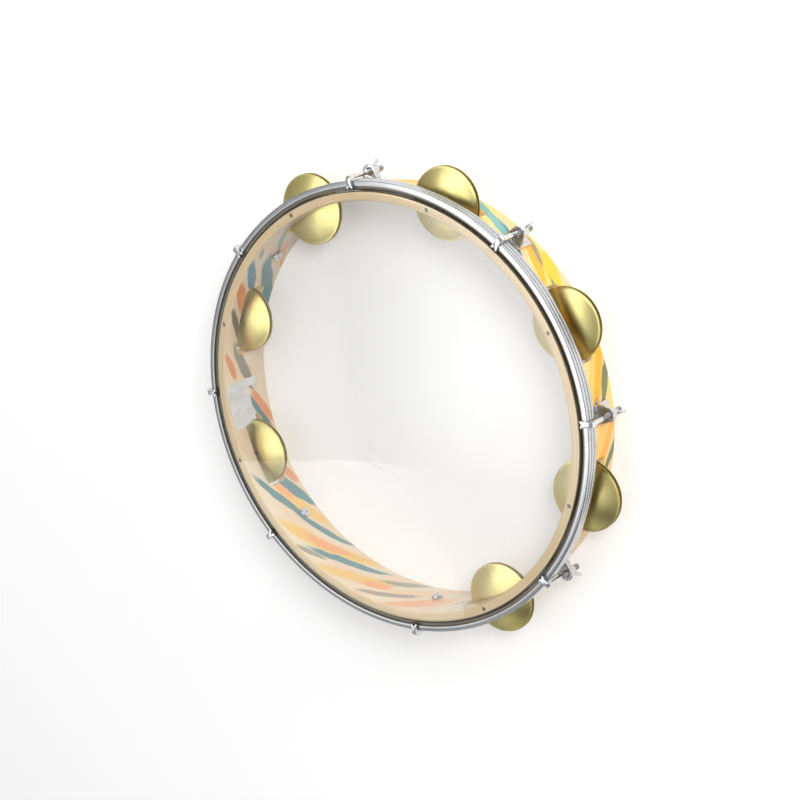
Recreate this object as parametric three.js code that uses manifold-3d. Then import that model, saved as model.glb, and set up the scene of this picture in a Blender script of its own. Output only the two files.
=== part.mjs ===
import * as THREE from "three";
import { mergeVertices } from "three/addons/utils/BufferGeometryUtils.js";
import Module from "manifold-3d";

// Pandeiro: a Brazilian frame drum with paired jingles in slots of its shell and a head
// that eight hooks and wing nuts tension. It lies on its open back edge with the head up.
// Millimetres, +Z up. Z is the drum's axis and the back edge rests at Z = 0.

// Gap between neighbours that touch on the real drum
const SEAT_GAP = 0.3;

// Shell: a bent plywood ring
const SHELL_DIAMETER = 305;
const SHELL_WALL = 6.5;
const SHELL_DEPTH = 45;
const BEARING_ROUND = 1.5;
const SHELL_CHAMFER = 0.8;

// Head: a clear plastic film with a collar that runs down outside the shell
const FILM_THICKNESS = 0.5;
const COLLAR_LIP = 3.2;

// Flesh hoop: the ring that the collar's lip is clamped under
const FLESH_HOOP_HEIGHT = 5;

// Counterhoop: a rolled steel channel over the flesh hoop, ridged on its outer face
const HOOP_GROOVE = 2.3;
const HOOP_WIDTH = 3.9;
const HOOP_HEIGHT = 9.6;
const HOOP_RISE = 0.4;
const HOOP_FLANGE = 1.5;
const HOOP_WALL = 1.8;
const HOOP_RIDGES = 3;
const HOOP_RIDGE_DEPTH = 0.5;

// Tension stations, in degrees round the drum. They are spaced by hand on the real drum,
// and the widest sector, after the fifth one, has no jingles: the hand holds it there.
const STATION_ANGLES = [94, 50, 3, 319, 273, 222, 180, 137.5];

// Hooks: a threaded rod outside the hoop with a flat forked claw over the hoop
const ROD_DIAMETER = 4;
const ROD_END_HEIGHT = 9.5;
const HOOP_CLEARANCE = 0.4;
const CLAW_THICKNESS = 2;
const CLAW_WIDTH = 6;
const CLAW_WAIST = 4.2;
const CLAW_DROP = 5;
const CLAW_CORNER = 1.6;
const PRONG_THICKNESS = 1.3;
const PRONG_NOTCH = 1.8;
const PRONG_REACH = 1.5;

// Lugs: pressed steel, a base on the shell and a doubled ear that the rod passes through
const LUG_SHEET = 1.2;
const LUG_WIDTH = 13;
const LUG_CORNER = 2.5;
const LUG_FRONT_LENGTH = 7;
const LUG_BACK_LENGTH = 15;
const EAR_HEIGHT = 23;
const EAR_TIP_RADIUS = 5;
const EAR_HOLE_CLEARANCE = 0.5;
const BEND_RADIUS = 1.4;

// Lug screws, driven from inside the drum into the lug's base
const SCREW_DIAMETER = 4;
const SCREW_HEAD_DIAMETER = 8;
const SCREW_HEAD_HEIGHT = 2.2;
const SCREW_HEAD_RIM = 0.7;
const SCREW_OFFSET = 7.5;

// Wing nuts, behind the ears
const NUT_BORE_CLEARANCE = 0.35;
const NUT_HUB_DIAMETER = 7.6;
const NUT_NECK_DIAMETER = 6.4;
const NUT_HUB_HEIGHT = 6;
const WING_SPAN = 14;
const WING_RISE = 3.2;
const WING_THICKNESS = 1.8;
const WING_ROOT = 4.4;
const WING_TIP_ROUND = 1.5;

// Jingles: pairs of domed brass discs, rim to rim, loose on a pin in each slot
const JINGLE_ANGLES = [71, 26, 341, 297, 200, 159.5, 116];
const JINGLE_HEIGHT = 21.5;
const DISC_DIAMETER = 50;
const DISC_DOME = 6;
const DISC_SHEET = 0.8;
const DISC_LIP = 1.6;
const DISC_HOLE = 4;
const RIM_GAP = 1.8;
const DISC_TRAVEL = 2.2;
const SLOT_SIDE_GAP = 2;
const SLOT_CORNER = 4;
const PIN_DIAMETER = 2.6;
const PIN_SINK = 0.5;
const PIN_DEPTH_BELOW_SLOT = 7;

// Facets
const RING_SIDES = 64;
const DISC_SIDES = 18;
const FASTENER_SIDES = 10;
const HOLE_SIDES = 8;
const CURVE_STEPS = 2;

// Radii and heights that follow from the sizes above
const shellRadius = SHELL_DIAMETER / 2;
const boreRadius = shellRadius - SHELL_WALL;
const wallRadius = shellRadius - SHELL_WALL / 2;
const collarInner = shellRadius + SEAT_GAP;
const collarOuter = collarInner + FILM_THICKNESS;
const filmUnder = SHELL_DEPTH + SEAT_GAP;
const filmTop = filmUnder + FILM_THICKNESS;
const hoopInner = collarOuter + HOOP_GROOVE;
const hoopOuter = hoopInner + HOOP_WIDTH;
const hoopTop = SHELL_DEPTH + HOOP_RISE;
const hoopBottom = hoopTop - HOOP_HEIGHT;
const fleshInner = collarOuter + SEAT_GAP;
const fleshOuter = hoopOuter - HOOP_WALL - SEAT_GAP;
const fleshTop = hoopTop - HOOP_FLANGE - SEAT_GAP;
const fleshBottom = fleshTop - FLESH_HOOP_HEIGHT;
const collarBottom = fleshBottom - SEAT_GAP - FILM_THICKNESS;
const rodRadius = hoopOuter + HOOP_CLEARANCE + ROD_DIAMETER / 2;
const lugInner = shellRadius + SEAT_GAP;
const lugOuter = lugInner + LUG_SHEET;
const earTop = EAR_HEIGHT + LUG_SHEET;
const earBottom = EAR_HEIGHT - LUG_SHEET;
const nutTop = earBottom - SEAT_GAP;
const screwHeight = EAR_HEIGHT - SCREW_OFFSET;
const slotWidth = DISC_DIAMETER + 2 * SLOT_SIDE_GAP;
const slotHeight = 2 * (DISC_DOME + DISC_TRAVEL + SEAT_GAP) + RIM_GAP;
const slotBottom = JINGLE_HEIGHT - slotHeight / 2;
const pinBottom = slotBottom - PIN_DEPTH_BELOW_SLOT;
const pinTop = SHELL_DEPTH - PIN_SINK;

const wasm = await Module();
wasm.setup();

// Materials
const finish = (color, roughness, metalness) =>
  new THREE.MeshStandardMaterial({ color, roughness, metalness });
const PLYWOOD = finish(0xdcc195, 0.6, 0);
const CLEAR_FILM = new THREE.MeshStandardMaterial({
  color: 0xf2f5f7,
  roughness: 0.05,
  metalness: 0,
  transparent: true,
  opacity: 0.3,
});
const ALUMINIUM = finish(0x2b2c2a, 0.45, 1);
const CHROME = finish(0xd6d9dc, 0.12, 1);
const ZINC = finish(0xb9bdc0, 0.3, 1);
const STEEL = finish(0x9a9da0, 0.35, 1);
const BRASS = finish(0xcdb85c, 0.28, 1);

// A closed solid from a three.js geometry, with shared corners merged
function toSolid(geometry) {
  const bare = geometry.clone();
  bare.deleteAttribute("normal");
  bare.deleteAttribute("uv");
  const merged = mergeVertices(bare, 1e-4);
  const corners = merged.index.array;
  const kept = [];
  for (let i = 0; i < corners.length; i += 3) {
    const [a, b, c] = [corners[i], corners[i + 1], corners[i + 2]];
    if (a !== b && b !== c && c !== a) kept.push(a, b, c);
  }
  const mesh = new wasm.Mesh({
    numProp: 3,
    vertProperties: new Float32Array(merged.attributes.position.array),
    triVerts: new Uint32Array(kept),
  });
  return new wasm.Manifold(mesh);
}

// The three.js geometry of a solid
function toGeometry(solid) {
  const mesh = solid.getMesh();
  const geometry = new THREE.BufferGeometry();
  geometry.setAttribute("position", new THREE.BufferAttribute(mesh.vertProperties, 3));
  geometry.setIndex(new THREE.BufferAttribute(mesh.triVerts, 1));
  geometry.computeVertexNormals();
  return geometry;
}

// A profile of [radius, height] points turned round Z. It runs counterclockwise, and
// a profile that is off the axis is closed onto its first point.
function revolve(profile, sides) {
  const points = profile.map(([radius, height]) => new THREE.Vector2(radius, height));
  if (profile[0][0] > 0) points.push(points[0].clone());
  return new THREE.LatheGeometry(points, sides).rotateX(Math.PI / 2);
}

// Points of a circular arc, as [x, y], from one angle in degrees to another
function arc(centreX, centreY, radius, from, to, steps = CURVE_STEPS) {
  const points = [];
  for (let i = 0; i <= steps; i += 1) {
    const angle = THREE.MathUtils.degToRad(from + ((to - from) * i) / steps);
    points.push([centreX + radius * Math.cos(angle), centreY + radius * Math.sin(angle)]);
  }
  return points;
}

// Points of a full circle, clockwise, as the edge of a hole
function circle(centreX, centreY, radius, sides = HOLE_SIDES) {
  return arc(centreX, centreY, radius, 360, 360 / sides, sides - 1);
}

// A flat outline of [x, y] points, extruded along its own third axis from zero
function extrude(outline, depth, holes = []) {
  const shape = new THREE.Shape(outline.map(([x, y]) => new THREE.Vector2(x, y)));
  for (const hole of holes) {
    shape.holes.push(new THREE.Path(hole.map(([x, y]) => new THREE.Vector2(x, y))));
  }
  return new THREE.ExtrudeGeometry(shape, { depth, bevelEnabled: false });
}

// A rectangle about the origin with round corners
function roundedRectangle(width, height, corner) {
  const x = width / 2 - corner;
  const y = height / 2 - corner;
  return [
    ...arc(x, y, corner, 0, 90),
    ...arc(-x, y, corner, 90, 180),
    ...arc(-x, -y, corner, 180, 270),
    ...arc(x, -y, corner, 270, 360),
  ];
}

// Turns an outline's X and Y to Y and Z, so that it is extruded along X
const facingOut = (geometry) => geometry.rotateX(Math.PI / 2).rotateZ(Math.PI / 2);

// Turns an outline's X and Y to X and Z, extruded along Y and centred on it
const facingSide = (geometry, depth) =>
  geometry.rotateX(Math.PI / 2).translate(0, depth / 2, 0);

// A round bar along X from one radius to another
function radialBar(radius, from, to, sides) {
  const bar = new THREE.CylinderGeometry(radius, radius, to - from, sides);
  return bar.rotateZ(Math.PI / 2).translate((from + to) / 2, 0, 0);
}

// A round bar along Z from one height to another
function uprightBar(radius, from, to, sides) {
  const bar = new THREE.CylinderGeometry(radius, radius, to - from, sides);
  return bar.rotateX(Math.PI / 2).translate(0, 0, (from + to) / 2);
}

// Places a cutter at an angle round the drum
const turned = (geometry, degrees) => geometry.rotateZ(THREE.MathUtils.degToRad(degrees));

// Shell: the ring with its round-over, the jingle slots, the pin bores and screw holes
function shellGeometry() {
  const centre = shellRadius - BEARING_ROUND;
  const ring = revolve([
    [boreRadius + SHELL_CHAMFER, 0],
    [shellRadius - SHELL_CHAMFER, 0],
    [shellRadius, SHELL_CHAMFER],
    ...arc(centre, SHELL_DEPTH - BEARING_ROUND, BEARING_ROUND, 0, 90),
    [boreRadius + SHELL_CHAMFER, SHELL_DEPTH],
    [boreRadius, SHELL_DEPTH - SHELL_CHAMFER],
    [boreRadius, SHELL_CHAMFER],
  ], RING_SIDES);
  let solid = toSolid(ring);
  const cutStart = boreRadius - SHELL_WALL;
  const cutDepth = 3 * SHELL_WALL;
  const pinBore = PIN_DIAMETER / 2 + SEAT_GAP;
  for (const angle of JINGLE_ANGLES) {
    const outline = roundedRectangle(slotWidth, slotHeight, SLOT_CORNER);
    const slot = facingOut(extrude(outline, cutDepth)).translate(cutStart, 0, JINGLE_HEIGHT);
    const bore = uprightBar(pinBore, pinBottom - SEAT_GAP, SHELL_DEPTH + 1, HOLE_SIDES);
    solid = solid.subtract(toSolid(turned(slot, angle)));
    solid = solid.subtract(toSolid(turned(bore.translate(wallRadius, 0, 0), angle)));
  }
  for (const angle of STATION_ANGLES) {
    const radius = SCREW_DIAMETER / 2 + SEAT_GAP;
    const hole = radialBar(radius, cutStart, cutStart + cutDepth, HOLE_SIDES);
    solid = solid.subtract(toSolid(turned(hole.translate(0, 0, screwHeight), angle)));
  }
  return toGeometry(solid);
}

// Head: a flat disc whose rounded edge turns down into a collar with an outward lip
function filmGeometry() {
  const centreR = shellRadius - BEARING_ROUND;
  const centreZ = SHELL_DEPTH - BEARING_ROUND;
  const inner = BEARING_ROUND + SEAT_GAP;
  const lipEdge = Math.min(collarOuter + COLLAR_LIP, fleshOuter);
  return revolve([
    [0, filmUnder],
    ...arc(centreR, centreZ, inner, 90, 0),
    [collarInner, collarBottom],
    [lipEdge, collarBottom],
    [lipEdge, collarBottom + FILM_THICKNESS],
    [collarOuter, collarBottom + FILM_THICKNESS],
    ...arc(centreR, centreZ, inner + FILM_THICKNESS, 0, 90),
    [0, filmTop],
  ], RING_SIDES);
}

// Flesh hoop: a plain flat ring
function fleshHoopGeometry() {
  return revolve([
    [fleshInner, fleshBottom],
    [fleshOuter, fleshBottom],
    [fleshOuter, fleshTop],
    [fleshInner, fleshTop],
  ], RING_SIDES);
}

// Counterhoop: an angle section, its outer face rolled into rounded ridges
function counterhoopGeometry() {
  const ridgeHeight = HOOP_HEIGHT / HOOP_RIDGES;
  const valley = hoopOuter - HOOP_RIDGE_DEPTH;
  const outerFace = [[valley, hoopBottom]];
  for (let i = 0; i < HOOP_RIDGES; i += 1) {
    const foot = hoopBottom + i * ridgeHeight;
    outerFace.push([hoopOuter, foot + ridgeHeight / 4]);
    outerFace.push([hoopOuter, foot + (ridgeHeight * 3) / 4]);
    outerFace.push([valley, foot + ridgeHeight]);
  }
  return revolve([
    ...outerFace,
    [hoopInner, hoopTop],
    [hoopInner, hoopTop - HOOP_FLANGE],
    [hoopOuter - HOOP_WALL, hoopTop - HOOP_FLANGE],
    [hoopOuter - HOOP_WALL, hoopBottom],
  ], RING_SIDES);
}

// Hook: the rod, and the claw as a side outline cut to its plan outline
function hookGeometry() {
  const rodInner = rodRadius - ROD_DIAMETER / 2;
  const rodOuter = rodRadius + ROD_DIAMETER / 2;
  const under = hoopTop + SEAT_GAP;
  const top = under + CLAW_THICKNESS;
  const prongOuter = hoopInner - SEAT_GAP;
  const prongInner = prongOuter - PRONG_THICKNESS;
  const foot = top - CLAW_DROP;
  const outerBend = CLAW_CORNER + CLAW_THICKNESS;
  const side = extrude([
    [rodInner, foot],
    [rodOuter, foot],
    ...arc(rodOuter - outerBend, top - outerBend, outerBend, 0, 90),
    ...arc(prongInner + PRONG_THICKNESS, top - PRONG_THICKNESS, PRONG_THICKNESS, 90, 180, 2),
    [prongInner, under - PRONG_REACH],
    [prongOuter, under - PRONG_REACH],
    [prongOuter, under],
    [rodInner, under],
  ], CLAW_WIDTH);
  const halfWaist = CLAW_WAIST / 2;
  const halfClaw = CLAW_WIDTH / 2;
  const plan = extrude([
    [rodOuter, -ROD_DIAMETER / 2],
    [rodOuter, ROD_DIAMETER / 2],
    [rodInner, halfWaist],
    [hoopInner + HOOP_WIDTH / 3, halfWaist],
    [prongOuter, halfClaw],
    [prongInner, halfClaw],
    [prongInner, PRONG_NOTCH / 2],
    [hoopInner, PRONG_NOTCH / 2],
    [hoopInner, -PRONG_NOTCH / 2],
    [prongInner, -PRONG_NOTCH / 2],
    [prongInner, -halfClaw],
    [prongOuter, -halfClaw],
    [hoopInner + HOOP_WIDTH / 3, -halfWaist],
    [rodInner, -halfWaist],
  ], 2 * CLAW_DROP).translate(0, 0, foot - CLAW_DROP / 2);
  const rod = uprightBar(ROD_DIAMETER / 2, ROD_END_HEIGHT, top - outerBend, FASTENER_SIDES);
  const claw = toSolid(facingSide(side, CLAW_WIDTH)).intersect(toSolid(plan));
  return toGeometry(claw.add(toSolid(rod.translate(rodRadius, 0, 0))));
}

// Lug: the base on the shell, and the ear with its bends
function lugGeometry() {
  const length = LUG_FRONT_LENGTH + LUG_BACK_LENGTH;
  const middle = EAR_HEIGHT + (LUG_FRONT_LENGTH - LUG_BACK_LENGTH) / 2;
  const screwBore = SCREW_DIAMETER / 2 + SEAT_GAP;
  const baseHole = circle(0, screwHeight - middle, screwBore);
  const baseOutline = roundedRectangle(LUG_WIDTH, length, LUG_CORNER);
  const base = facingOut(extrude(baseOutline, LUG_SHEET, [baseHole]));
  base.translate(lugInner, 0, middle);
  const earHole = circle(rodRadius, 0, ROD_DIAMETER / 2 + EAR_HOLE_CLEARANCE);
  const halfWidth = LUG_WIDTH / 2;
  const ear = extrude([
    [lugInner + LUG_SHEET / 2, -halfWidth],
    [lugOuter + BEND_RADIUS, -halfWidth],
    ...arc(rodRadius, 0, EAR_TIP_RADIUS, -60, 60, 2 * CURVE_STEPS),
    [lugOuter + BEND_RADIUS, halfWidth],
    [lugInner + LUG_SHEET / 2, halfWidth],
  ], 2 * LUG_SHEET, [earHole]).translate(0, 0, earBottom);
  const overlap = LUG_SHEET / 2;
  const bends = extrude([
    [lugOuter - overlap, earBottom - BEND_RADIUS],
    ...arc(lugOuter + BEND_RADIUS, earBottom - BEND_RADIUS, BEND_RADIUS, 180, 90, 2),
    ...arc(lugOuter + BEND_RADIUS, earTop + BEND_RADIUS, BEND_RADIUS, 270, 180, 2),
    [lugOuter - overlap, earTop + BEND_RADIUS],
  ], LUG_WIDTH);
  const folded = toSolid(facingSide(bends, LUG_WIDTH));
  return toGeometry(toSolid(base).add(toSolid(ear)).add(folded));
}

// Lug screw: a domed head inside the shell, and a shank through the wall and the base
function screwGeometry() {
  const headRadius = SCREW_HEAD_DIAMETER / 2;
  const seat = boreRadius - SEAT_GAP;
  const shank = lugOuter - seat;
  const screw = revolve([
    [0, 0],
    [SCREW_DIAMETER / 2, 0],
    [SCREW_DIAMETER / 2, shank],
    [headRadius, shank],
    [headRadius, shank + SCREW_HEAD_RIM],
    [headRadius * 0.7, shank + SCREW_HEAD_HEIGHT * 0.85],
    [0, shank + SCREW_HEAD_HEIGHT],
  ], FASTENER_SIDES);
  return screw.rotateY(-Math.PI / 2).translate(lugOuter, 0, screwHeight);
}

// Wing nut: a tapered hub with its bore, and two rounded wings that lean away from the ear
function nutGeometry() {
  const bore = ROD_DIAMETER / 2 + NUT_BORE_CLEARANCE;
  const hub = revolve([
    [bore, -NUT_HUB_HEIGHT],
    [NUT_NECK_DIAMETER / 2, -NUT_HUB_HEIGHT],
    [NUT_HUB_DIAMETER / 2, -NUT_HUB_HEIGHT / 3],
    [NUT_HUB_DIAMETER / 2, 0],
    [bore, 0],
  ], FASTENER_SIDES);
  const tip = WING_SPAN / 2 - WING_TIP_ROUND;
  const back = -NUT_HUB_HEIGHT - WING_RISE + WING_TIP_ROUND;
  const root = (bore + NUT_NECK_DIAMETER / 2) / 2;
  const wing = extrude([
    [root, -NUT_HUB_HEIGHT + WING_ROOT],
    [root, -NUT_HUB_HEIGHT],
    ...arc(tip, back, WING_TIP_ROUND, 200, 380, CURVE_STEPS + 1),
  ], WING_THICKNESS);
  const wingSolid = toSolid(facingSide(wing, WING_THICKNESS));
  const solid = toSolid(hub).add(wingSolid).add(wingSolid.rotate([0, 0, 180]));
  return toGeometry(solid);
}

// Jingle disc: a thin dome with a flat lip and a loose centre hole, rim down at zero
function discGeometry() {
  const rim = DISC_DIAMETER / 2;
  const domeBase = rim - DISC_LIP;
  const rise = DISC_DOME - DISC_SHEET;
  const sphere = (domeBase * domeBase + rise * rise) / (2 * rise);
  const domeHeight = (radius) => Math.sqrt(sphere * sphere - radius * radius) - sphere + rise;
  const hole = DISC_HOLE / 2;
  const radii = [];
  for (let i = 0; i <= CURVE_STEPS; i += 1) {
    radii.push(hole + ((domeBase - hole) * i) / CURVE_STEPS);
  }
  const inside = radii.map((radius) => [radius, Math.max(0, domeHeight(radius))]);
  const outside = inside.map(([radius, height]) => [radius, height + DISC_SHEET]).reverse();
  return revolve([...inside, [rim, 0], [rim, DISC_SHEET], ...outside], DISC_SIDES);
}

// Jingle pin: a plain wire driven in through the bearing edge, across the slot
function pinGeometry() {
  return uprightBar(PIN_DIAMETER / 2, pinBottom, pinTop, HOLE_SIDES);
}

function addMesh(parent, name, geometry, material) {
  const mesh = new THREE.Mesh(geometry, material);
  mesh.name = name;
  parent.add(mesh);
  return mesh;
}

const pandeiro = new THREE.Group();
addMesh(pandeiro, "shell", shellGeometry(), PLYWOOD);
addMesh(pandeiro, "head_film", filmGeometry(), CLEAR_FILM);
addMesh(pandeiro, "flesh_hoop", fleshHoopGeometry(), ALUMINIUM);
addMesh(pandeiro, "counterhoop", counterhoopGeometry(), CHROME);

const hook = hookGeometry();
const lug = lugGeometry();
const screw = screwGeometry();
const nut = nutGeometry();
STATION_ANGLES.forEach((angle, index) => {
  const station = new THREE.Group();
  station.rotation.z = THREE.MathUtils.degToRad(angle);
  pandeiro.add(station);
  const number = index + 1;
  addMesh(station, `hook_${number}`, hook, CHROME);
  addMesh(station, `lug_${number}`, lug, ZINC);
  addMesh(station, `lug_screw_${number}`, screw, ZINC);
  const wingNut = addMesh(station, `wing_nut_${number}`, nut, ZINC);
  wingNut.position.set(rodRadius, 0, nutTop);
});

const disc = discGeometry();
const pin = pinGeometry();
JINGLE_ANGLES.forEach((angle, index) => {
  const slot = new THREE.Group();
  slot.rotation.z = THREE.MathUtils.degToRad(angle);
  pandeiro.add(slot);
  const number = index + 1;
  addMesh(slot, `jingle_pin_${number}`, pin, STEEL).position.set(wallRadius, 0, 0);
  const front = addMesh(slot, `jingle_front_${number}`, disc, BRASS);
  front.position.set(wallRadius, 0, JINGLE_HEIGHT + RIM_GAP / 2);
  const back = addMesh(slot, `jingle_back_${number}`, disc, BRASS);
  back.position.set(wallRadius, 0, JINGLE_HEIGHT - RIM_GAP / 2);
  back.rotation.x = Math.PI;
});

export default pandeiro;
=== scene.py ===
"""Looks of a pandeiro: a shallow wooden frame drum with a clear head and seven pairs of brass jingles.

Metres, +Z up. Z is the drum's axis, and its open back edge rests at Z = 0.
"""

import logging
import math
from collections.abc import Callable, Iterator, Sequence
from contextlib import contextmanager
from dataclasses import dataclass
from enum import Enum

import bmesh
import bpy
from mathutils import Matrix, Vector


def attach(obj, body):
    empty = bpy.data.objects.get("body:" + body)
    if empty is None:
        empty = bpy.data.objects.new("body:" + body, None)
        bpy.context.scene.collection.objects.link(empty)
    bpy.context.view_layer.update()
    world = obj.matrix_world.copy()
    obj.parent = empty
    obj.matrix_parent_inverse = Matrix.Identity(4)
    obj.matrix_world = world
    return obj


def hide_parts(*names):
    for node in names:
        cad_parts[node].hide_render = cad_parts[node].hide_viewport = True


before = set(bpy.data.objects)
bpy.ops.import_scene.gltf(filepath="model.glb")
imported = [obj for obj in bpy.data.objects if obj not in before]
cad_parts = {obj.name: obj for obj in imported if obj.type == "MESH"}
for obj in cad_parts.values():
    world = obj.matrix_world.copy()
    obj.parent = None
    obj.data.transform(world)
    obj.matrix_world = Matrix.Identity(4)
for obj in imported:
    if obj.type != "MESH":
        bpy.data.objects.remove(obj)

LOG = logging.getLogger("pandeiro")
DRUM = "drum"
DISC_MAP = "disc"
MERGE_REACH = 2e-6
SAME_PLACE = 1e-7
MILLIMETRES = 1000.0
WALL_MIDDLE = 0.14925
BORE = 0.146
HOOP_MIDDLE = 0.157
SCREW_HEIGHT = 0.0155
SLOT_MIDDLE = 0.0215

Piece = bpy.types.Object
Socket = bpy.types.NodeSocket
Point = tuple[float, float]
Place = tuple[float, float, float]
Colour = tuple[float, float, float]


# Mesh work, as by hand in edit mode


class Kind(Enum):
    """The elements of a mesh that an operator works on."""

    CORNERS = "VERT"
    EDGES = "EDGE"
    FACES = "FACE"


class Carving(Enum):
    """How one solid is worked with another."""

    CUT = "DIFFERENCE"
    KEEP_COMMON = "INTERSECT"
    WELD = "UNION"


def clear_selection() -> None:
    """Deselect every object, so that an operator acts on the new piece alone."""
    bpy.ops.object.select_all(action="DESELECT")


def make_active(obj: Piece) -> None:
    """Select one object alone and make it the active one."""
    clear_selection()
    obj.select_set(True)
    bpy.context.view_layer.objects.active = obj


@contextmanager
def editing(obj: Piece) -> Iterator[None]:
    """Hold one object in edit mode with all of it selected, for the time of the with block."""
    make_active(obj)
    bpy.ops.object.mode_set(mode="EDIT")
    bpy.ops.mesh.select_mode(type="VERT")
    bpy.ops.mesh.select_all(action="SELECT")
    yield
    bpy.ops.object.mode_set(mode="OBJECT")


def pick(obj: Piece, kind: Kind, test: Callable[[Vector, Vector], bool]) -> None:
    """Select only the elements of a mesh in edit mode that pass a test.

    Args:
        obj: The mesh object in edit mode.
        kind: Corners, edges or faces.
        test: Takes an element's place and its normal, or an edge's direction.
    """
    bpy.ops.mesh.select_mode(type=kind.value)
    bpy.ops.mesh.select_all(action="DESELECT")
    mesh = bmesh.from_edit_mesh(obj.data)
    if kind is Kind.CORNERS:
        rows = [(corner, corner.co, corner.normal) for corner in mesh.verts]
    elif kind is Kind.EDGES:
        ends = [(edge, *(corner.co for corner in edge.verts)) for edge in mesh.edges]
        rows = [(edge, (start + end) / 2, (end - start).normalized()) for edge, start, end in ends]
    else:
        rows = [(face, face.calc_center_median(), face.normal) for face in mesh.faces]
    for element, place, normal in rows:
        if test(place, normal):
            element.select_set(True)
    bmesh.update_edit_mesh(obj.data)


def named(name: str) -> Piece:
    """Give the active object and its mesh a name.

    Args:
        name: The piece's name.

    Returns:
        The active object.
    """
    obj = bpy.context.view_layer.objects.active
    obj.name = name
    obj.data.name = name
    return obj


def merge_and_turn_out() -> None:
    """In edit mode, merge doubled corners and turn all faces outwards."""
    bpy.ops.mesh.select_all(action="SELECT")
    bpy.ops.mesh.remove_doubles(threshold=MERGE_REACH)
    bpy.ops.mesh.normals_make_consistent(inside=False)


def drawn_line(name: str, points: Sequence[Place], closed: bool = True) -> Piece:
    """Draw a line of edges: a small plane is merged to one corner, and that is extruded from point to point.

    Args:
        name: The new object's name.
        points: The corners of the line, in order.
        closed: Whether the last corner is joined to the first.

    Returns:
        The new object.
    """
    clear_selection()
    bpy.ops.mesh.primitive_plane_add(size=0.001, location=(0, 0, 0))
    obj = named(name)
    corners = [Vector(point) for point in points]
    with editing(obj):
        bpy.ops.mesh.merge(type="CENTER")
        bpy.ops.transform.translate(value=corners[0])
        for start, end in zip(corners, corners[1:]):
            bpy.ops.mesh.extrude_vertices_move(TRANSFORM_OT_translate={"value": end - start})
        if closed:
            ends = (corners[0], corners[-1])
            pick(obj, Kind.CORNERS, lambda place, _: min((place - end).length for end in ends) < SAME_PLACE)
            bpy.ops.mesh.edge_face_add()
    return obj


def arc(centre: Point, radius: float, start: float, end: float, steps: int) -> list[Point]:
    """List the points of an arc.

    Args:
        centre: The arc's centre.
        radius: Its radius.
        start: The first point's angle, in degrees.
        end: The last point's angle, in degrees.
        steps: How many straight pieces it has.

    Returns:
        The points, ends included.
    """
    angles = [math.radians(start + (end - start) * step / steps) for step in range(steps + 1)]
    return [(centre[0] + radius * math.cos(angle), centre[1] + radius * math.sin(angle)) for angle in angles]


def turned(name: str, section: Sequence[Point], steps: int, closed: bool = True) -> Piece:
    """Spin a section of radius and height round the Z axis.

    Args:
        name: The new object's name.
        section: The section's points. An open one starts and ends on the axis.
        steps: How many facets go round.
        closed: Whether the section is a closed line.

    Returns:
        The closed solid.
    """
    obj = drawn_line(name, [(radius, 0.0, height) for radius, height in section], closed)
    with editing(obj):
        bpy.ops.mesh.spin(steps=steps, angle=math.tau, center=(0, 0, 0), axis=(0, 0, 1))
        merge_and_turn_out()
    return obj


def plate(name: str, outline: Sequence[Place], depth: Place) -> Piece:
    """Fill a flat outline and extrude it to a plate.

    Args:
        name: The new object's name.
        outline: The outline's corners, in order.
        depth: The way and distance that it is extruded.

    Returns:
        The closed plate.
    """
    obj = drawn_line(name, outline)
    with editing(obj):
        bpy.ops.mesh.edge_face_add()
        bpy.ops.mesh.extrude_region_move(TRANSFORM_OT_translate={"value": depth})
        merge_and_turn_out()
    return obj


def apply_modifier(obj: Piece, kind: str, **settings: object) -> None:
    """Add a modifier to an object and apply it.

    Args:
        obj: The object to shape.
        kind: The modifier's type.
        settings: Its settings by name.
    """
    make_active(obj)
    modifier = obj.modifiers.new("work", kind)
    for key, value in settings.items():
        setattr(modifier, key, value)
    bpy.ops.object.modifier_apply(modifier=modifier.name)


def carve(obj: Piece, tool: Piece, how: Carving) -> None:
    """Work one solid with another, which is used up.

    Args:
        obj: The solid that stays.
        tool: The solid that it is worked with.
        how: Cut away, keep what is common, or weld on.
    """
    apply_modifier(obj, "BOOLEAN", operation=how.value, solver="EXACT", object=tool)
    bpy.data.objects.remove(tool)


def joined(objects: Sequence[Piece]) -> Piece:
    """Join several objects into the first.

    Args:
        objects: The objects to join.

    Returns:
        The first object, with all their meshes.
    """
    make_active(objects[0])
    for obj in objects[1:]:
        obj.select_set(True)
    bpy.ops.object.join()
    return objects[0]


def soften(obj: Piece, width: float, angle: float = 40.0, segments: int = 2) -> None:
    """Round the sharp edges of a piece.

    Args:
        obj: The piece.
        width: How wide each rounding is.
        angle: Edges that turn by more than this many degrees are rounded.
        segments: How many facets a rounding has.
    """
    limit = math.radians(angle)
    apply_modifier(obj, "BEVEL", width=width, segments=segments, limit_method="ANGLE", angle_limit=limit)


def bar(name: str, radius: float, low: float, high: float, sides: int, at: Point = (0.0, 0.0)) -> Piece:
    """Add an upright round bar.

    Args:
        name: The new object's name.
        radius: Its radius.
        low: The height of its lower end.
        high: The height of its upper end.
        sides: How many sides it has.
        at: Its centre, seen from above.

    Returns:
        The new object, with its place in its mesh.
    """
    clear_selection()
    bpy.ops.mesh.primitive_cylinder_add(
        vertices=sides, radius=radius, depth=high - low, location=(at[0], at[1], (low + high) / 2)
    )
    obj = named(name)
    settle(obj)
    return obj


def settle(obj: Piece) -> None:
    """Put an object's place, turn and size into its mesh."""
    make_active(obj)
    bpy.ops.object.transform_apply(location=True, rotation=True, scale=True)


def around(degrees: float) -> Matrix:
    """Give the turn by an angle in degrees round the drum's axis."""
    return Matrix.Rotation(math.radians(degrees), 4, "Z")


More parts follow.
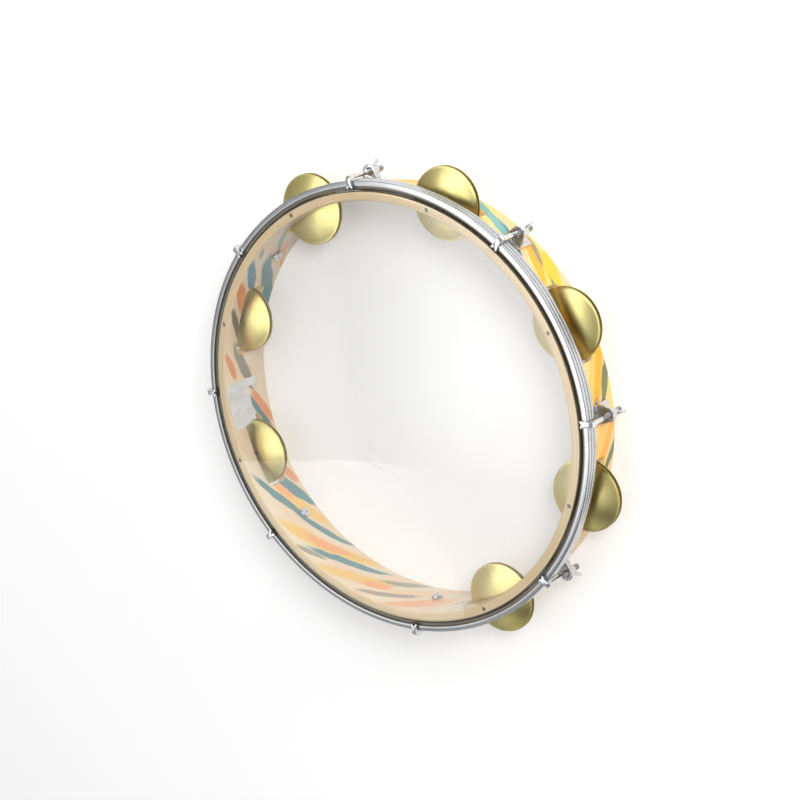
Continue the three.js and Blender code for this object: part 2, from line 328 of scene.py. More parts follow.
def placed_copy(pattern: Piece, name: str, place: Matrix) -> Piece:
    """Copy a pattern with a mesh of its own and put its place into that mesh.

    Args:
        pattern: The object to copy.
        name: The copy's name.
        place: Where the copy goes.

    Returns:
        The copy.
    """
    clone = pattern.copy()
    clone.data = pattern.data.copy()
    clone.name = name
    clone.data.name = name
    clone.data.transform(place)
    bpy.context.scene.collection.objects.link(clone)
    return clone


def ring_of_copies(pattern: Piece, angles: Sequence[float]) -> list[Piece]:
    """Copy a pattern round the drum's axis and take the pattern itself away.

    Args:
        pattern: The object to copy. Each copy has its name with a number.
        angles: The copies' angles in degrees.

    Returns:
        The copies.
    """
    copies = [placed_copy(pattern, f"{pattern.name}_{number}", around(angle)) for number, angle in enumerate(angles, 1)]
    bpy.data.objects.remove(pattern)
    return copies


def laid_out(obj: Piece, radius: float, height: float, turn: float = 90.0) -> Piece:
    """Lay an upright piece along the drum's radius.

    Args:
        obj: The piece, with its foot at the origin.
        radius: How far from the axis its foot comes to lie.
        height: How high it comes to lie.
        turn: 90 degrees to point outwards, -90 to point inwards.

    Returns:
        The same piece.
    """
    obj.data.transform(Matrix.Translation((radius, 0, height)) @ Matrix.Rotation(math.radians(turn), 4, "Y"))
    return obj


def rounded_outline(low: Point, high: Point, corner: float, steps: int) -> list[Point]:
    """List the outline of a rectangle with rounded corners.

    Args:
        low: Its corner with the lowest values.
        high: Its corner with the highest values.
        corner: The radius of its corners.
        steps: How many straight pieces each corner has.

    Returns:
        The points, starting at the right end of the upper right corner.
    """
    left, right, bottom, top = low[0] + corner, high[0] - corner, low[1] + corner, high[1] - corner
    middles = ((right, top, 0), (left, top, 90), (left, bottom, 180), (right, bottom, 270))
    return [point for x, y, start in middles for point in arc((x, y), corner, start, start + 90, steps)]


def dress(obj: Piece, *materials: bpy.types.Material, sharp: float = 32.0) -> None:
    """Give a piece its materials in place of any it has, and shade it smooth.

    Args:
        obj: The piece.
        materials: Its materials, in the order of its slots.
        sharp: Edges that turn by more than this many degrees stay sharp.
    """
    obj.data.materials.clear()
    for material in materials:
        obj.data.materials.append(material)
    make_active(obj)
    bpy.ops.object.shade_smooth_by_angle(angle=math.radians(sharp))


def hand_over(obj: Piece, body: str, node: str | None) -> None:
    """Let a finished piece ride on a body and stand for its CAD node, and report it.

    Args:
        obj: The finished piece.
        body: The body that it moves with.
        node: The CAD node that it stands for, if there is one.
    """
    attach(obj, body)
    if node:
        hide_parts(node)
    LOG.info("%s: %d faces on %s", obj.name, len(obj.data.polygons), body)


# Finishes


def srgb(red: float, green: float, blue: float) -> Colour:
    """Turn a colour of 0 to 255 as seen on a screen into a linear one.

    Args:
        red: The red share.
        green: The green share.
        blue: The blue share.

    Returns:
        The linear colour.
    """
    def linear(value: float) -> float:
        """Give the linear share of one screen value."""
        share = value / 255
        return share / 12.92 if share <= 0.04045 else ((share + 0.055) / 1.055) ** 2.4

    return linear(red), linear(green), linear(blue)


Feed = Socket | float | Sequence[float]


class Graph:
    """The nodes of one material, world or node group, and the wires between them."""

    def __init__(self, tree: bpy.types.NodeTree) -> None:
        """Start with the tree's nodes taken out."""
        self.tree = tree
        tree.nodes.clear()

    def add(self, kind: str, feeds: dict[str | int, Feed] | None = None, **settings: object) -> bpy.types.Node:
        """Add a node.

        Args:
            kind: The node's type.
            feeds: What goes into its sockets, by name or number.
            settings: Its properties by name.

        Returns:
            The new node.
        """
        node = self.tree.nodes.new(kind)
        for key, value in settings.items():
            setattr(node, key, value)
        for key, value in (feeds or {}).items():
            self.feed(node.inputs[key], value)
        return node

    def feed(self, socket: Socket, value: Feed) -> None:
        """Wire a socket to another one, or set its value.

        Args:
            socket: The socket that takes the value.
            value: A socket, a number, a place or a colour.
        """
        if isinstance(value, Socket):
            self.tree.links.new(value, socket)
        elif socket.type == "RGBA":
            socket.default_value = (*value[:3], 1.0)
        else:
            socket.default_value = value

    def math(self, operation: str, *feeds: Feed) -> Socket:
        """Add a Math node and give its result."""
        return self.add("ShaderNodeMath", dict(enumerate(feeds)), operation=operation).outputs[0]

    def times(self, first: Feed, second: Feed) -> Socket:
        """Multiply two numbers."""
        return self.math("MULTIPLY", first, second)

    def line(self, value: Feed, slope: Feed, start: Feed) -> Socket:
        """Multiply a number by a slope and add a start."""
        return self.math("MULTIPLY_ADD", value, slope, start)

    def place(self) -> Socket:
        """Give the object coordinates, in metres."""
        return self.add("ShaderNodeTexCoord").outputs["Object"]

    def vector(self, x: Feed, y: Feed, z: Feed = 0.0) -> Socket:
        """Combine three numbers into a vector."""
        return self.add("ShaderNodeCombineXYZ", {0: x, 1: y, 2: z}).outputs[0]

    def noise(self, place: Feed, scale: float, detail: float = 2.0, roughness: float = 0.5) -> Socket:
        """Add a noise texture.

        Args:
            place: The coordinates that it reads.
            scale: Its scale.
            detail: How many finer layers it has.
            roughness: How strong the finer layers are.

        Returns:
            Its value, from 0 to 1.
        """
        feeds = {"Vector": place, "Scale": scale, "Detail": detail, "Roughness": roughness}
        return self.add("ShaderNodeTexNoise", feeds).outputs["Fac"]

    def span(self, value: Feed, low: float, high: float, start: float = 0.0, end: float = 1.0) -> Socket:
        """Map a value smoothly from one span to another.

        Args:
            value: The value to map.
            low: The start of its span.
            high: The end of its span.
            start: What the start becomes.
            end: What the end becomes.

        Returns:
            The mapped value.
        """
        feeds = {0: value, 1: low, 2: high, 3: start, 4: end}
        return self.add("ShaderNodeMapRange", feeds, interpolation_type="SMOOTHSTEP").outputs[0]

    def blend(self, share: Feed, first: Feed, second: Feed) -> Socket:
        """Mix two colours.

        Args:
            share: How much of the second one there is.
            first: The first colour.
            second: The second colour.

        Returns:
            The mixed colour.
        """
        return self.add("ShaderNodeMix", {0: share, 6: first, 7: second}, data_type="RGBA").outputs[2]

    def group(self, tree: bpy.types.NodeTree, feeds: dict[str, Feed]) -> dict[str, Socket]:
        """Place a shared node group.

        Args:
            tree: The group's tree.
            feeds: What goes into its inputs, by name.

        Returns:
            Its outputs by name.
        """
        return dict(self.add("ShaderNodeGroup", feeds, node_tree=tree).outputs.items())

    def surface(
        self, colour: Feed, rough: Feed, height: Feed, relief: Point, extra: dict[str, Feed] | None = None
    ) -> Socket:
        """Add a principled shader with a fine relief.

        Args:
            colour: The base colour.
            rough: The roughness.
            height: The relief's height, from 0 to 1.
            relief: The relief's strength, and its depth in metres.
            extra: What else the shader takes, by name.

        Returns:
            The shader.
        """
        bump = self.add("ShaderNodeBump", {"Strength": relief[0], "Distance": relief[1], "Height": height})
        feeds = {"Base Color": colour, "Roughness": rough, "Normal": bump.outputs[0], **(extra or {})}
        return self.add("ShaderNodeBsdfPrincipled", feeds).outputs[0]


NUMBER = "NodeSocketFloat"
VECTOR = "NodeSocketVector"


def new_group(name: str, inputs: dict[str, str], outputs: Sequence[str]) -> tuple[Graph, dict[str, Socket]]:
    """Start a shared node group.

    Args:
        name: The group's name.
        inputs: Its inputs' names and socket types.
        outputs: The names of its outputs, which are numbers.

    Returns:
        Its graph, and the sockets that give its inputs, by name.
    """
    tree = bpy.data.node_groups.new(name, "ShaderNodeTree")
    for key, kind in inputs.items():
        tree.interface.new_socket(key, in_out="INPUT", socket_type=kind)
    for key in outputs:
        tree.interface.new_socket(key, in_out="OUTPUT", socket_type=NUMBER)
    graph = Graph(tree)
    return graph, dict(graph.add("NodeGroupInput").outputs.items())


def close_group(graph: Graph, feeds: dict[str, Feed]) -> bpy.types.NodeTree:
    """Wire a group's results to its outputs by name, and give its tree."""
    graph.add("NodeGroupOutput", feeds)
    return graph.tree


class Effects:
    """The node groups that several finishes share."""

    def __init__(self) -> None:
        """Build every group once."""
        self.ring_place = self._ring_place()
        self.fine_lines = self._fine_lines()
        self.smudges = self._smudges()
        self.wood_grain = self._wood_grain()

    @staticmethod
    def _ring_place() -> bpy.types.NodeTree:
        """Build the group that gives a place along, up and across the ring, in millimetres.

        Returns:
            The group's tree.
        """
        inputs = {"Place": VECTOR, "Seam": NUMBER, "Middle": NUMBER}
        graph, given = new_group("ring_place", inputs, ("Along", "Height", "Radius"))
        turn = graph.math("SUBTRACT", math.pi, graph.math("RADIANS", given["Seam"]))
        feeds = {"Vector": given["Place"], "Angle": turn}
        rotated = graph.add("ShaderNodeVectorRotate", feeds, rotation_type="Z_AXIS")
        x, y, z = graph.add("ShaderNodeSeparateXYZ", {0: rotated.outputs[0]}).outputs
        angle = graph.math("ADD", graph.math("ARCTAN2", y, x), math.pi)
        square = graph.math("ADD", graph.math("POWER", x, 2.0), graph.math("POWER", y, 2.0))
        results = {
            "Along": graph.times(angle, given["Middle"]),
            "Height": graph.times(z, MILLIMETRES),
            "Radius": graph.times(graph.math("SQRT", square), MILLIMETRES),
        }
        return close_group(graph, results)

    @staticmethod
    def _fine_lines() -> bpy.types.NodeTree:
        """Build the group for fine parallel lines, as a tool or a rolling mill leaves them.

        Returns:
            The group's tree.
        """
        inputs = {"Across": NUMBER, "Along": NUMBER, "Spacing": NUMBER}
        graph, given = new_group("fine_lines", inputs, ("Height", "Mask"))
        across = graph.math("DIVIDE", given["Across"], given["Spacing"])
        along = graph.math("DIVIDE", given["Along"], graph.times(given["Spacing"], 120.0))
        fine = graph.noise(graph.vector(across, along), 1.0, 3.0, 0.6)
        wide = graph.noise(graph.vector(graph.times(across, 0.12), along), 1.0)
        return close_group(graph, {"Height": fine, "Mask": graph.span(wide, 0.35, 0.7)})

    @staticmethod
    def _smudges() -> bpy.types.NodeTree:
        """Build the group for soft uneven patches and a few fine scratches.

        Returns:
            The group's tree.
        """
        graph, given = new_group("smudges", {"Place": VECTOR, "Size": NUMBER}, ("Mask", "Scratch"))
        scaled = graph.add("ShaderNodeVectorMath", {0: given["Place"]}, operation="SCALE")
        graph.feed(scaled.inputs["Scale"], graph.math("DIVIDE", 1.0, given["Size"]))
        patches = graph.noise(scaled.outputs[0], 1.0, 4.0, 0.62)
        feeds = {"Vector": scaled.outputs[0], "Rotation": (0.4, 0.9, 0.6), "Scale": (1.2, 40.0, 9.0)}
        lines = graph.noise(graph.add("ShaderNodeMapping", feeds).outputs[0], 1.0, 1.0, 0.4)
        return close_group(graph, {"Mask": graph.span(patches, 0.42, 0.72), "Scratch": graph.span(lines, 0.68, 0.74)})

    @staticmethod
    def _wood_grain() -> bpy.types.NodeTree:
        """Build the group for long wood grain with short pores.

        Returns:
            The group's tree.
        """
        inputs = {"Along": NUMBER, "Across": NUMBER, "Other": NUMBER}
        graph, given = new_group("wood_grain", inputs, ("Grain", "Pores"))

        def stretched(along: float, across: float) -> Socket:
            """Scale the place by one number along the grain and by another across it."""
            scales = {"Along": along, "Across": across, "Other": across}
            return graph.vector(*(graph.times(given[key], scale) for key, scale in scales.items()))

        grain = graph.noise(stretched(0.018, 0.75), 1.0, 5.0, 0.62)
        pores = graph.span(graph.noise(stretched(0.22, 3.4), 1.0), 0.62, 0.72)
        return close_group(graph, {"Grain": grain, "Pores": pores})


def start_material(name: str) -> tuple[bpy.types.Material, Graph]:
    """Start a node material.

    Args:
        name: The material's name.

    Returns:
        The material and its empty graph.
    """
    material = bpy.data.materials.new(name)
    material.use_nodes = True
    return material, Graph(material.node_tree)


def close_material(graph: Graph, shader: Socket) -> None:
    """Wire a shader to the material's output."""
    graph.add("ShaderNodeOutputMaterial", {"Surface": shader})


class Wall(Enum):
    """The two clad faces of the shell, each with the angle in degrees where its cladding sheet is joined."""

    INSIDE = 104.0
    OUTSIDE = 134.0


class Tint(Enum):
    """The colours of the cladding's soft brush strokes, as seen on a screen."""

    TEAL = (52, 124, 132)
    BLUE_TEAL = (62, 120, 142)
    PALE_TEAL = (120, 168, 166)
    ORANGE = (230, 126, 46)
    SOFT_ORANGE = (246, 166, 98)
    GOLD = (248, 172, 50)
    YELLOW = (244, 196, 88)
    PEACH = (246, 206, 150)
    OLIVE = (94, 84, 54)
    DARK_GREEN = (88, 98, 66)
    GREY = (136, 132, 112)
    TAUPE = (158, 136, 122)


@dataclass(frozen=True)
class Stroke:
    """One long soft brush stroke of the cladding. Its place is in degrees round the drum and millimetres up."""

    angle: float
    height: float
    width: float
    length: float
    tint: Tint
    strength: float = 0.95


INSIDE_STROKES = (
    Stroke(137.1, 8.7, 7, 34, Tint.SOFT_ORANGE),
    Stroke(151.8, 35, 10, 38, Tint.ORANGE),
    Stroke(172.7, 38, 6, 26, Tint.ORANGE, 0.8),
    Stroke(187.6, 8.7, 9, 34, Tint.ORANGE, 0.8),
    Stroke(208.9, 7.5, 8, 22, Tint.ORANGE, 0.8),
    Stroke(219.2, 15, 10, 56, Tint.YELLOW),
    Stroke(212.4, 21, 8, 24, Tint.SOFT_ORANGE, 0.8),
    Stroke(234.0, 22.5, 11, 84, Tint.YELLOW),
    Stroke(234.6, 21, 8, 40, Tint.SOFT_ORANGE),
    Stroke(247.7, 31, 10, 60, Tint.YELLOW, 0.85),
    Stroke(254.6, 26, 8, 24, Tint.SOFT_ORANGE),
    Stroke(271.2, 31, 12, 56, Tint.SOFT_ORANGE, 0.75),
    Stroke(267.8, 13.7, 10, 56, Tint.PEACH),
    Stroke(129.7, 25, 5, 48, Tint.PALE_TEAL),
    Stroke(134.4, 38, 3.4, 16, Tint.DARK_GREEN, 0.6),
    Stroke(143.5, 33.7, 7.5, 44, Tint.BLUE_TEAL),
    Stroke(147.4, 12.5, 12, 60, Tint.TEAL),
    Stroke(161.6, 33.7, 5, 46, Tint.OLIVE, 0.9),
    Stroke(173.4, 25, 8.5, 42, Tint.GREY, 0.9),
    Stroke(189.1, 12.5, 5.5, 46, Tint.TEAL),
    Stroke(214.8, 28.7, 7, 50, Tint.TEAL),
    Stroke(229.5, 12.5, 5, 50, Tint.TEAL),
    Stroke(214.3, 10.6, 9, 40, Tint.TEAL),
    Stroke(242.3, 21, 7, 66, Tint.TEAL),
    Stroke(233.2, 38.7, 4.4, 26, Tint.GREY, 0.85),
    Stroke(260.4, 10, 6, 36, Tint.GREY, 0.8),
    Stroke(260.0, 31, 6, 46, Tint.TAUPE, 0.9),
    Stroke(284.5, 23.7, 4, 26, Tint.GREY, 0.4),
)
OUTSIDE_STROKES = (
    Stroke(-5.5, 11, 8, 40, Tint.GOLD),
    Stroke(-4.0, 18, 11, 34, Tint.PEACH),
    Stroke(11.0, 20, 9, 38, Tint.PEACH),
    Stroke(11.0, 13, 8, 48, Tint.GOLD),
    Stroke(24.0, 36, 9, 52, Tint.SOFT_ORANGE),
    Stroke(38.5, 11, 10, 44, Tint.YELLOW),
    Stroke(43.0, 17, 8, 38, Tint.GOLD),
    Stroke(62.0, 24, 9, 40, Tint.SOFT_ORANGE, 0.8),
    Stroke(82.0, 12, 9, 52, Tint.YELLOW),
    Stroke(98.0, 30, 10, 58, Tint.SOFT_ORANGE),
    Stroke(118.0, 14, 9, 50, Tint.GOLD, 0.8),
    Stroke(-30.0, 30, 9, 50, Tint.YELLOW),
    Stroke(-9.5, 5, 6, 28, Tint.DARK_GREEN),
    Stroke(4.0, 23, 4.5, 18, Tint.TEAL),
    Stroke(9.5, 6, 7, 34, Tint.DARK_GREEN),
    Stroke(30.0, 24, 6, 44, Tint.TEAL),
    Stroke(45.5, 8.5, 5, 28, Tint.GREY),
    Stroke(52.0, 20, 7, 40, Tint.TEAL),
    Stroke(61.0, 11, 7, 60, Tint.PALE_TEAL),
    Stroke(74.0, 27, 6, 50, Tint.BLUE_TEAL),
    Stroke(90.0, 24, 5, 46, Tint.GREY, 0.8),
    Stroke(108.0, 12, 8, 60, Tint.TEAL),
    Stroke(124.0, 32, 6, 48, Tint.OLIVE, 0.8),
    Stroke(-22.0, 14, 6, 46, Tint.PALE_TEAL),
)
STROKES = {Wall.INSIDE: INSIDE_STROKES, Wall.OUTSIDE: OUTSIDE_STROKES}
# Painted shade: the dark of the deep groove between the shell and the hoops, laid on the shell's shoulder.
GROOVE_PAINTED_SHADE = srgb(34, 30, 24)


def groove_shade_mask(graph: Graph, radius: Feed, height: Feed) -> Socket:
    """Mask the shell's shoulder, which the hoops close round, where the groove's shade is painted on as a dark colour.

    Args:
        graph: The graph that needs it.
        radius: The radius in millimetres.
        height: The height in millimetres.

    Returns:
        The mask.
    """
    return graph.times(graph.span(radius, 151.6, 152.0), graph.span(height, 40.6, 41.4, 0.0, 0.94))


def ring_feeds(place: Feed, middle: float, seam: Feed = Wall.INSIDE.value) -> dict[str, Feed]:
    """Give the inputs of the ring_place group.

    Args:
        place: The object coordinates.
        middle: The radius that lengths along the ring are measured at, in metres.
        seam: The angle in degrees where they start.

    Returns:
        The inputs by name.
    """
    return {"Place": place, "Seam": seam, "Middle": middle * MILLIMETRES}


@dataclass(frozen=True)
class Laminate:
    """The cladding of the shell: cream with long soft strokes that run slantwise, under a thin lacquer."""

    effects: Effects
    cream: Colour = srgb(238, 220, 188)
    warm_cream: Colour = srgb(250, 218, 160)
    blush: Colour = srgb(240, 206, 172)
    pale: Colour = srgb(226, 216, 182)
    lean: float = math.radians(27.0)
    ragged: float = 0.17

    def stroke_area(self, wall: Wall, stroke: Stroke) -> dict[str, Feed]:
        """Map the area of a stroke to a circle of radius 1 round the origin.

        Args:
            wall: The face that it is on.
            stroke: The stroke.

        Returns:
            The place and scale of a Mapping node.
        """
        along = math.radians((stroke.angle - wall.value) % 360) * WALL_MIDDLE * MILLIMETRES
        across = along * math.sin(self.lean) + stroke.height * math.cos(self.lean)
        run = along * math.cos(self.lean) - stroke.height * math.sin(self.lean)
        half = (stroke.width / 2, stroke.length / 2)
        return {"Location": (-across / half[0], -run / half[1], 0.0), "Scale": (1 / half[0], 1 / half[1], 1.0)}

    def build(self) -> bpy.types.Material:
        """Build the material.

        Returns:
            The material.
        """
        material, graph = start_material("streaked_laminate")
        place = graph.place()
        flat = graph.add("ShaderNodeSeparateXYZ", {0: place}).outputs
        square = graph.math("ADD", graph.math("POWER", flat[0], 2.0), graph.math("POWER", flat[1], 2.0))
        outside = graph.math("GREATER_THAN", square, WALL_MIDDLE**2)
        seam = graph.line(outside, Wall.OUTSIDE.value - Wall.INSIDE.value, Wall.INSIDE.value)
        ring = graph.group(self.effects.ring_place, ring_feeds(place, WALL_MIDDLE, seam))
        along, height = ring["Along"], ring["Height"]
        across = graph.line(along, math.sin(self.lean), graph.times(height, math.cos(self.lean)))
        run = graph.math("SUBTRACT", graph.times(along, math.cos(self.lean)), graph.times(height, math.sin(self.lean)))

        def brushed(x: float, y: float, detail: float = 3.0, roughness: float = 0.5) -> Socket:
            """Add a noise that is scaled by x across the strokes and by y along them."""
            return graph.noise(graph.vector(graph.times(across, x), graph.times(run, y)), 1.0, detail, roughness)

        wander, bristle, soft_edge = brushed(0.06, 0.02, 2.0), brushed(0.9, 0.02, roughness=0.65), brushed(0.3, 0.07)
        wavy = graph.math("ADD", across, graph.line(wander, 7.0, -3.5))
        wavy = graph.math("ADD", wavy, graph.line(soft_edge, 3.0, -1.5))
        field = graph.vector(wavy, graph.math("ADD", run, graph.line(bristle, 34.0, -17.0)))
        colour = graph.blend(outside, self.cream, self.warm_cream)
        colour = graph.blend(graph.span(wander, 0.4, 0.65), colour, self.blush)
        colour = graph.blend(graph.span(bristle, 0.45, 0.75, 0.0, 0.7), colour, self.pale)
        for wall, stroke in [(wall, stroke) for wall, strokes in STROKES.items() for stroke in strokes]:
            shifted = graph.add("ShaderNodeMapping", {"Vector": field, **self.stroke_area(wall, stroke)}).outputs[0]
            reach = graph.add("ShaderNodeVectorMath", {0: shifted}, operation="LENGTH").outputs["Value"]
            mask = graph.span(reach, 1.0 - self.ragged, 1.0 + self.ragged, stroke.strength, 0.0)
            colour = graph.blend(mask, colour, srgb(*stroke.tint.value))
        feeds = {"Color": colour, "Saturation": graph.line(outside, 0.35, 1.0)}
        feeds = {0: 1.0, 6: graph.add("ShaderNodeHueSaturation", feeds).outputs[0], 7: graph.line(bristle, 0.16, 0.92)}
        colour = graph.add("ShaderNodeMix", feeds, data_type="RGBA", blend_type="MULTIPLY").outputs[2]
        # Painted shade of the hoop groove on the outer face of the shoulder.
        colour = graph.blend(groove_shade_mask(graph, ring["Radius"], height), colour, GROOVE_PAINTED_SHADE)
        marks = graph.group(self.effects.smudges, {"Place": place, "Size": 0.02})
        rough = graph.line(marks["Mask"], 0.12, 0.3)
        lacquer = {"Coat Weight": 0.35, "Coat Roughness": 0.12}
        close_material(graph, graph.surface(colour, rough, bristle, (0.12, 0.0002), lacquer))
        return material


@dataclass(frozen=True)
class BarePlywood:
    """The cut edges of the shell: pale veneers round the ring with darker glue lines between them."""

    effects: Effects
    light: Colour = srgb(250, 226, 182)
    dark: Colour = srgb(238, 208, 158)
    glue: Colour = srgb(166, 132, 92)
    plies: tuple[float, ...] = (146.3, 147.4, 148.7, 150.1)
    ply_line: float = 0.11

    def build(self) -> bpy.types.Material:
        """Build the material.

        Returns:
            The material.
        """
        material, graph = start_material("bare_plywood")
        place = graph.place()
        ring = graph.group(self.effects.ring_place, ring_feeds(place, WALL_MIDDLE))
        feeds = {"Along": ring["Along"], "Across": ring["Radius"], "Other": ring["Height"]}
        wood = graph.group(self.effects.wood_grain, feeds)
        colour = graph.blend(graph.span(wood["Grain"], 0.3, 0.7), self.light, self.dark)
        colour = graph.blend(graph.times(wood["Pores"], 0.3), colour, self.glue)
        wave = graph.noise(graph.vector(graph.times(ring["Along"], 0.04), 0.0), 1.0)
        radius = graph.math("ADD", ring["Radius"], graph.line(wave, 0.24, -0.12))
        lines = 0.0
        for ply in self.plies:
            reach = graph.math("ABSOLUTE", graph.math("SUBTRACT", radius, ply))
            line = graph.span(reach, self.ply_line * 0.4, self.ply_line * 1.6, 0.55, 0.0)
            lines = graph.math("MAXIMUM", lines, line)
        colour = graph.blend(lines, colour, self.glue)
        colour = graph.blend(graph.span(graph.noise(place, 60.0, 3.0), 0.5, 0.8, 0.0, 0.35), colour, self.dark)
        # Painted shade of the hoop groove on the rounded bearing edge at the shoulder.
        colour = graph.blend(groove_shade_mask(graph, ring["Radius"], ring["Height"]), colour, GROOVE_PAINTED_SHADE)
        height = graph.math("SUBTRACT", wood["Grain"], graph.times(wood["Pores"], 0.5))
        close_material(graph, graph.surface(colour, graph.line(wood["Grain"], 0.2, 0.42), height, (0.25, 0.0002)))
        return material


@dataclass(frozen=True)
class ClearFilm:
    """The head's clear plastic film, with faint smudges and a very slight waviness."""

    effects: Effects
    colour: Colour = (0.965, 0.968, 0.966)
    index: float = 1.57

    def build(self) -> bpy.types.Material:
        """Build the material, which lets the lamps through.

        Returns:
            The material.
        """
        material, graph = start_material("clear_film")
        place = graph.place()
        marks = graph.group(self.effects.smudges, {"Place": place, "Size": 0.05})
        rough = graph.line(marks["Scratch"], 0.015, graph.line(marks["Mask"], 0.012, 0.004))
        clear = {"IOR": self.index, "Transmission Weight": 1.0}
        glass = graph.surface(self.colour, rough, graph.noise(place, 9.0, 1.0), (0.05, 0.001), clear)
        open_way = graph.add("ShaderNodeBsdfTransparent", {"Color": self.colour}).outputs[0]
        lamps = graph.add("ShaderNodeLightPath").outputs["Is Shadow Ray"]
        close_material(graph, graph.add("ShaderNodeMixShader", {0: lamps, 1: glass, 2: open_way}).outputs[0])
        return material


@dataclass(frozen=True)
class RingMetal:
    """A rolled or drawn metal whose fine lines run round the drum."""

    effects: Effects
    name: str
    colour: Colour
    dull: Colour
    roughness: float
    metallic: float = 1.0
    spacing: float = 0.35
    relief: float = 0.12

    def build(self) -> bpy.types.Material:
        """Build the material.

        Returns:
            The material.
        """
        material, graph = start_material(self.name)
        place = graph.place()
        ring = graph.group(self.effects.ring_place, ring_feeds(place, HOOP_MIDDLE))
        across = graph.math("ADD", ring["Radius"], graph.times(ring["Height"], 0.83))
        feeds = {"Across": across, "Along": ring["Along"], "Spacing": self.spacing}
        lines = graph.group(self.effects.fine_lines, feeds)
        marks = graph.group(self.effects.smudges, {"Place": place, "Size": 0.012})
        colour = graph.blend(graph.times(lines["Mask"], 0.5), self.colour, self.dull)
        colour = graph.blend(graph.times(marks["Mask"], 0.25), colour, self.dull)
        rough = graph.line(marks["Mask"], 0.06, graph.line(lines["Height"], 0.1, self.roughness - 0.05))
        metal = {"Metallic": self.metallic}
        close_material(graph, graph.surface(colour, rough, lines["Height"], (self.relief, 0.0001), metal))
        return material


@dataclass(frozen=True)
class PlatedSteel:
    """A plated small part: bright, a little uneven, with duller patches and hairline scratches."""

    effects: Effects
    name: str
    colour: Colour
    dull: Colour
    roughness: float
    metallic: float = 1.0
    patch: float = 0.004

    def build(self) -> bpy.types.Material:
        """Build the material.

        Returns:
            The material.
        """
        material, graph = start_material(self.name)
        place = graph.place()
        marks = graph.group(self.effects.smudges, {"Place": place, "Size": self.patch})
        colour = graph.blend(graph.times(marks["Mask"], 0.4), self.colour, self.dull)
        colour = graph.blend(graph.times(marks["Scratch"], 0.4), colour, self.dull)
        rough = graph.line(marks["Scratch"], 0.1, graph.line(marks["Mask"], 0.12, self.roughness))
        metal = {"Metallic": self.metallic}
        close_material(graph, graph.surface(colour, rough, graph.noise(place, 2500.0), (0.03, 0.0001), metal))
        return material


@dataclass(frozen=True)
class SpunBrass:
    """Satin brass with the fine rings that spinning leaves, a slight uneven tarnish and a painted shade line along the
    rim.
    """

    effects: Effects
    colour: Colour = srgb(226, 214, 146)
    warm: Colour = srgb(214, 194, 114)
    # Painted shade for the dark line along each disc's rim.
    painted_rim_shade: Colour = srgb(150, 126, 60)
    disc_width: float = 50.0

    def build(self) -> bpy.types.Material:
        """Build the material.

        Returns:
            The material.
        """
        material, graph = start_material("spun_brass")
        flat = graph.add("ShaderNodeUVMap", uv_map=DISC_MAP).outputs[0]
        centred = graph.add("ShaderNodeVectorMath", {0: flat, 1: (0.5, 0.5, 0.0)}, operation="SUBTRACT").outputs[0]
        reach = graph.add("ShaderNodeVectorMath", {0: centred}, operation="LENGTH").outputs["Value"]
        feeds = {"Across": graph.times(reach, self.disc_width), "Along": 0.0, "Spacing": 0.3}
        lines = graph.group(self.effects.fine_lines, feeds)
        marks = graph.group(self.effects.smudges, {"Place": graph.place(), "Size": 0.009})
        colour = graph.blend(graph.times(lines["Mask"], 0.14), self.colour, self.warm)
        colour = graph.blend(graph.times(marks["Mask"], 0.4), colour, self.warm)
        # Painted shade: a dark line along the rim, for the gap between the paired discs.
        colour = graph.blend(graph.span(reach, 0.485, 0.5, 0.0, 0.5), colour, self.painted_rim_shade)
        rough = graph.line(lines["Height"], 0.06, graph.line(marks["Mask"], 0.08, 0.27))
        metal = {"Metallic": 1.0}
        close_material(graph, graph.surface(colour, rough, lines["Height"], (0.05, 0.0001), metal))
        return material


@dataclass(frozen=True)
class LabelPaper:
    """Bare white label paper with fine fibres and one fold line, along which shade is painted."""

    effects: Effects
    fold_angle: float
    white: Colour = srgb(228, 228, 224)
    shade: Colour = srgb(200, 197, 190)

    def build(self) -> bpy.types.Material:
        """Build the material.

        Returns:
            The material.
        """
        material, graph = start_material("label_paper")
        place = graph.place()
        ring = graph.group(self.effects.ring_place, ring_feeds(place, BORE))
        fibre = graph.noise(place, 1800.0, 3.0, 0.6)
        fold = math.radians(self.fold_angle - Wall.INSIDE.value) * BORE * MILLIMETRES
        line = graph.span(graph.math("ABSOLUTE", graph.math("SUBTRACT", ring["Along"], fold)), 0.1, 0.45, 1.0, 0.0)
        colour = graph.blend(graph.span(graph.noise(place, 120.0), 0.4, 0.75, 0.0, 0.5), self.white, self.shade)
        # Painted shade along the fold, on top of the fold's dip in the relief.
        colour = graph.blend(graph.times(line, 0.5), colour, self.shade)
        height = graph.math("SUBTRACT", graph.times(fibre, 0.3), line)
        close_material(graph, graph.surface(colour, graph.line(fibre, 0.2, 0.5), height, (0.4, 0.0001)))
        return material


